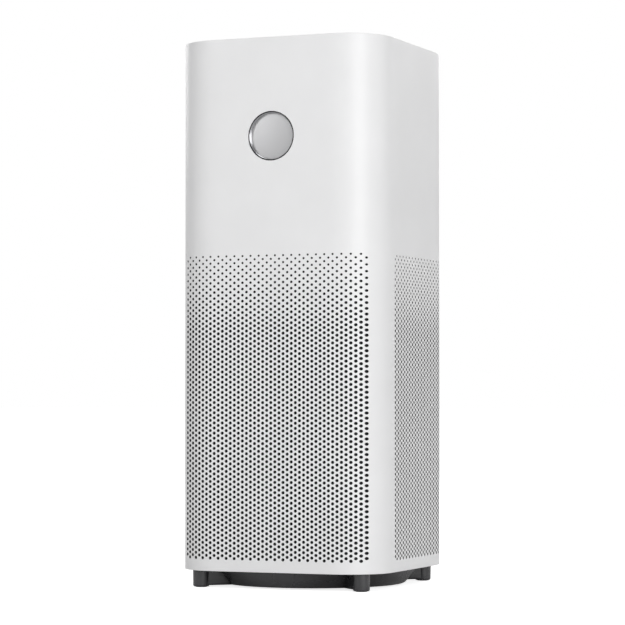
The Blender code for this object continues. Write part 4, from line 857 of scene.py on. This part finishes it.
# Painted shade: a near-black sheet standing in for the shaded inside behind the holes.
shade_sheet_material = moulding("painted_shade_sheet", (0.012, 0.012, 0.013), 0.9, grain=900, depth=0.00005, variation=0.2)
tree = shade_sheet_material.node_tree
threads = []
for direction in ("Z", "DIAGONAL"):
    wave = node(tree, "TexWave", Vector=tree.nodes["Texture Coordinate"].outputs["Object"], Scale=420)
    wave.bands_direction = direction
    threads.append(wave.outputs["Fac"])
crossing = node(tree, "Math", *threads)
crossing.operation = "MAXIMUM"
tree.links.new(crossing.outputs[0], tree.nodes["Bump"].inputs["Height"])
for name, columns, low, quarter, body in (
    ("front_shade_sheet", FRONT_COLUMNS, FIELD_BOTTOM, 0, "cabinet"),
    ("right_shade_sheet", SIDE_COLUMNS, FIELD_BOTTOM, 1, "cabinet"),
    ("left_shade_sheet", -SIDE_COLUMNS[::-1], FIELD_BOTTOM, 3, "cabinet"),
    ("door_shade_sheet", DOOR_COLUMNS, door_field_bottom, 2, "door"),
):
    across = np.linspace(columns[0] - COLUMN_PITCH * 0.6, columns[-1] + COLUMN_PITCH * 0.6, SHADE_SHEET_STEPS)
    near, far = -side_of(across, SHADE_SHEET_NEAR), -side_of(across, SHADE_SHEET_FAR)
    high, low = FIELD_TOP - SHADE_SHEET_CLEAR, low + SHADE_SHEET_CLEAR
    shade_sheet_points = np.empty((SHADE_SHEET_STEPS, 4, 3))
    shade_sheet_points[..., 0] = across[:, None]
    shade_sheet_points[..., 1] = np.stack([near, far, far, near], 1)
    shade_sheet_points[..., 2] = (high, high, low, low)
    solid(name, carried(turned(shade_sheet_points, quarter), closed=False), [shade_sheet_material], body)


# --- Springs ---
# Plain wound springs of drawn steel wire with closed ends: one in the latch's pocket and one under the power
# button.
def wound(radius, wire, low, high, turns, middle, ends=0.75, steps=20, sides=8):
    """A tube carried along a helix about +Z, whose turns lie close at both ends and evenly between."""
    count = int(turns * steps) + 1
    turned_by = np.linspace(0, 2 * math.pi * turns, count)
    low_mid, high_mid = low + wire / 2, high - wire / 2
    climb = np.interp(
        turned_by / (2 * math.pi), [0, ends, turns - ends, turns],
        [low_mid, low_mid + wire * ends, high_mid - wire * ends, high_mid],
    )
    outward = np.stack([np.cos(turned_by), np.sin(turned_by), np.zeros(count)], 1)
    around = np.linspace(0, 2 * math.pi, sides, endpoint=False)[None, :, None]
    centre = outward * radius + np.asarray(middle) + np.outer(climb, UP)
    tube = centre[:, None] + wire / 2 * (np.cos(around) * outward[:, None] + np.sin(around) * np.array(UP))
    return carried(tube, closed=False)


spring_steel = moulding("spring_steel", (0.56, 0.56, 0.58), 0.28, grain=3000, depth=0.000005, metallic=1.0)
for name, packed, radius, wire, turns, body, joint, keep in (
    ("latch_coil", "latch_spring", 0.0020, 0.0006, 7, "door", "latch_press", 0.55),
    ("button_coil", "power_spring", 0.0041, 0.0007, 5, "cabinet", "power_press", 0.86),
):
    low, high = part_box(packed)
    coil = wound(radius, wire, low.z + 0.00001, high.z, turns, (middle_of(packed, 0), middle_of(packed, 1), 0))
    coil = solid(name, coil, [spring_steel], body, packed, angle=60)
    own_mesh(coil)


# --- Filter cartridge ---
# Pleated filter paper in a round of open plastic net, potted into a moulded cap at each end, with a foam seal
# on top that meets the fan deck and a strap grip towards the door.
PLEATS = 96
MEDIA_LOW, MEDIA_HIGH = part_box("filter_media")[0].z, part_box("filter_media")[1].z
MEDIA_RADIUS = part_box("filter_media")[1].x
BORE = 0.072
NET_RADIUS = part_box("filter_net")[1].x
NET_THICKNESS = 0.0010
NET_COLUMNS, NET_ROWS = 72, 40
UPRIGHT, CROSSBAR = 0.22, 0.13
CAP_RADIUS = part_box("filter_cap_top")[1].x
CAP_LOW, CAP_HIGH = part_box("filter_cap_bottom")[0].z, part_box("filter_cap_top")[1].z
CAP_PLATE = 0.003
CAP_RIM = 0.013
CAP_WALL = 0.0015

pleat = 2 * math.pi / PLEATS
starts = (np.arange(PLEATS) * pleat)[:, None]
outer_turns = (starts + np.array([-0.13, 0.13, 0.40, 0.60]) * pleat).ravel()
inner_turns = (starts + np.array([-0.05, 0.05, 0.33, 0.67]) * pleat).ravel()
fold_radii = np.array([1, 1, 0, 0]) * (MEDIA_RADIUS - BORE - 0.0016) + BORE + 0.0012
outer_radii = np.tile(fold_radii, PLEATS)
inner_radii = np.tile(fold_radii - np.array([0.0012, 0.0012, 0.0007, 0.0007]), PLEATS)
folds = np.stack([
    np.column_stack([r * np.cos(t), r * np.sin(t), np.full(len(t), z)])
    for r, t, z in (
        (outer_radii, outer_turns, MEDIA_LOW), (outer_radii, outer_turns, MEDIA_HIGH),
        (inner_radii, inner_turns, MEDIA_HIGH), (inner_radii, inner_turns, MEDIA_LOW),
    )
], 1)
filter_paper = moulding("filter_paper", (0.82, 0.81, 0.77), 0.95, grain=420, depth=0.00012, variation=0.06)
solid("pleated_paper", carried(folds), [filter_paper], "cabinet", "filter_media")

net_turns = (np.arange(NET_COLUMNS)[:, None] + np.array([0, UPRIGHT])).ravel() * 2 * math.pi / NET_COLUMNS
cell = (MEDIA_HIGH - MEDIA_LOW - 0.001) / NET_ROWS
net_heights = (np.arange(NET_ROWS + 1)[:, None] + np.array([0, CROSSBAR])).ravel() * cell
net_outer = np.empty((len(net_turns), len(net_heights), 3))
net_outer[..., 0] = (NET_RADIUS * np.cos(net_turns))[:, None]
net_outer[..., 1] = (NET_RADIUS * np.sin(net_turns))[:, None]
net_outer[..., 2] = MEDIA_LOW + net_heights * (MEDIA_HIGH - MEDIA_LOW) / net_heights[-1]
shrink = (NET_RADIUS - NET_THICKNESS) / NET_RADIUS
kept = np.ones((len(net_turns), len(net_heights) - 1), bool)
kept[1::2, 1::2] = False
filter_moulding = moulding("filter_moulding", (0.16, 0.16, 0.165), 0.5, grain=1200)
net = walled_sheet(net_outer, net_outer * (shrink, shrink, 1), kept, wrap=True)
solid("open_net", net, [filter_moulding], "cabinet", "filter_net")

wall_inside = CAP_RADIUS - CAP_WALL
lower_profile = rounded([
    (0, CAP_LOW), (CAP_RADIUS, CAP_LOW), (CAP_RADIUS, CAP_LOW + CAP_RIM), (wall_inside, CAP_LOW + CAP_RIM),
    (wall_inside, CAP_LOW + CAP_PLATE), (0, CAP_LOW + CAP_PLATE),
], {1: 0.0015, 2: 0.0005})
upper_profile = rounded([
    (BORE, CAP_HIGH - CAP_PLATE), (wall_inside, CAP_HIGH - CAP_PLATE), (wall_inside, CAP_HIGH - CAP_RIM),
    (CAP_RADIUS, CAP_HIGH - CAP_RIM), (CAP_RADIUS, CAP_HIGH), (BORE, CAP_HIGH),
], {3: 0.0005, 4: 0.0015, 5: 0.0008})
for name, profile, packed in (
    ("lower_filter_cap", lower_profile, "filter_cap_bottom"),
    ("upper_filter_cap", upper_profile, "filter_cap_top"),
):
    solid(name, spun(profile, 144), [filter_moulding], "cabinet", packed)


# --- Finishes of the solids that stay as they are ---
# Frames and ducts are dark moulded plastic, circuit boards green laminate, motor parts turned steel and
# varnished wire, and the seal on the filter is soft foam.
def finish(material, *names):
    """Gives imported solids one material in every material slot."""
    for name in names:
        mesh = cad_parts[name].data
        mesh.materials.clear()
        mesh.materials.append(material)


def board_laminate():
    """Green laminate: the mask's colour in broad bands of copper and bare board, with pads in bright dots."""
    material = moulding("board_laminate", (0.02, 0.16, 0.07), 0.35, grain=2200, depth=0.00001, variation=0.35)
    tree = material.node_tree
    place = tree.nodes["Texture Coordinate"].outputs["Object"]
    dots = node(tree, "TexVoronoi", Vector=place, Scale=330, Randomness=0.35)
    picked = node(tree, "Math", dots.outputs["Distance"], 0.22)
    picked.operation = "LESS_THAN"
    metal = node(tree, "Mix")
    metal.data_type = "RGBA"
    metal.inputs["B"].default_value = (0.6, 0.58, 0.5, 1)
    base = tree.nodes["Principled BSDF"].inputs["Base Color"]
    tree.links.new(picked.outputs[0], metal.inputs["Factor"])
    tree.links.new(base.links[0].from_socket, metal.inputs["A"])
    tree.links.new(metal.outputs["Result"], base)
    return material


finish(
    moulding("frame_moulding", (0.045, 0.045, 0.048), 0.5, grain=1100, depth=0.00004, variation=0.12),
    "fan_deck", "chamber_floor", "post_front_left", "post_front_right", "post_rear_left", "post_rear_right",
)
finish(
    moulding("duct_moulding", (0.10, 0.10, 0.105), 0.5, grain=1100, variation=0.08),
    "fan_housing", "diffuser", "inlet_ring", "impeller", "motor_mount",
)
finish(moulding("seal_foam", (0.10, 0.10, 0.10), 0.95, grain=600, depth=0.0002, variation=0.25), "filter_seal")
finish(
    board_laminate(),
    "brightness_board", "climate_board", "control_board", "display_board", "power_board", "switch_board",
)
finish(
    moulding("turned_steel", (0.50, 0.50, 0.51), 0.32, grain=2600, depth=0.000006, metallic=1.0),
    "motor_shaft", "motor_rotor", "lower_bearing", "upper_bearing", "motor_screw_1", "motor_screw_2",
    "motor_screw_3", "grille_screw_left", "grille_screw_right",
)
finish(
    moulding("wound_copper", (0.62, 0.24, 0.10), 0.38, grain=1800, depth=0.00006, metallic=0.9, variation=0.2),
    "motor_stator",
)
finish(moulding("wire_sheath", (0.02, 0.02, 0.022), 0.5, grain=2000), "wiring_loom")
finish(white_moulding, "door_latch", "latch_pocket")
finish(dark_moulding, "power_inlet", "particle_sensor")
finish(filter_moulding, "filter_handle")


# --- Studio ---
# A white floor and background, one big soft key light from the right of the front, and weaker ones at the
# other sides. Floor and background are a little brighter to the camera than the light they give.
TURN = math.radians(22.70)
DISTANCE = 3.598
EYE_HEIGHT = 0.256
TILT = math.radians(1.527)
LOOK_AT = (0, 0, 0.38)
FLOOR_REACH = 60


def shown_to_camera(tree, usual, seen, output):
    """One shader for the camera's own rays, and the usual one for every other ray."""
    camera_ray = node(tree, "LightPath").outputs["Is Camera Ray"]
    either = node(tree, "MixShader", camera_ray, usual.outputs[0], seen.outputs[0])
    tree.links.new(either.outputs[0], tree.nodes[output].inputs[0])


world = bpy.data.worlds.new("white_room")
world.use_nodes = True
tree = world.node_tree
surround = tree.nodes["Background"]
surround.inputs["Strength"].default_value = 0.35
surround.inputs["Color"].default_value = (1, 1, 1, 1)
shown_to_camera(tree, surround, node(tree, "Background", Color=(1, 1, 1, 1)), "World Output")
bpy.context.scene.world = world
bpy.context.scene.view_settings.view_transform = "Standard"

floor_mesh = bpy.data.meshes.new("studio_floor")
floor_corners = [(x * FLOOR_REACH, y * FLOOR_REACH, 0) for x, y in ((-1, -1), (1, -1), (1, 1), (-1, 1))]
floor_mesh.from_pydata(floor_corners, [], [(0, 1, 2, 3)])
floor = bpy.data.objects.new("studio_floor", floor_mesh)
bpy.context.scene.collection.objects.link(floor)
floor_paint = moulding("floor_paint", (0.80, 0.80, 0.80), 0.8, grain=300, depth=0.00005, variation=0.01)
tree = floor_paint.node_tree
paint = tree.nodes["Principled BSDF"]
glowing = node(tree, "AddShader", paint.outputs[0], node(tree, "Emission", Strength=0.80).outputs[0])
shown_to_camera(tree, paint, glowing, "Material Output")
floor_mesh.materials.append(floor_paint)

for name, spot, size, power in (
    ("key", (2.75, -2.6, 1.25), 2.3, 64),
    ("front_high", (-0.4, -3.2, 3.4), 1.6, 32),
    ("front_left", (-1.9, -3.2, 1.35), 1.4, 7),
    ("right", (3.4, 0.9, 1.5), 1.8, 5),
    ("rear", (0.3, 3.5, 2.2), 2.0, 56),
    ("rear_left", (-3.2, 2.0, 1.8), 1.8, 30),
):
    light = bpy.data.lights.new(name, "AREA")
    light.shape = "DISK"
    light.size = size
    light.energy = power
    lamp = bpy.data.objects.new(name, light)
    lamp.location = spot
    x, y, z = np.array(spot) - LOOK_AT
    lamp.rotation_euler = (math.atan2(math.hypot(x, y), z), 0, math.atan2(y, x) + math.pi / 2)
    bpy.context.scene.collection.objects.link(lamp)

camera = bpy.data.cameras.new("camera")
camera.lens = 148.8
camera.sensor_width = 36
camera.shift_x = -0.0024
camera.shift_y = 0.0285
camera.clip_end = 200
camera_object = bpy.data.objects.new("camera", camera)
camera_object.location = (DISTANCE * math.sin(TURN), -DISTANCE * math.cos(TURN), EYE_HEIGHT)
camera_object.rotation_euler = (math.pi / 2 + TILT, 0, TURN)
bpy.context.scene.collection.objects.link(camera_object)
bpy.context.scene.camera = camera_object
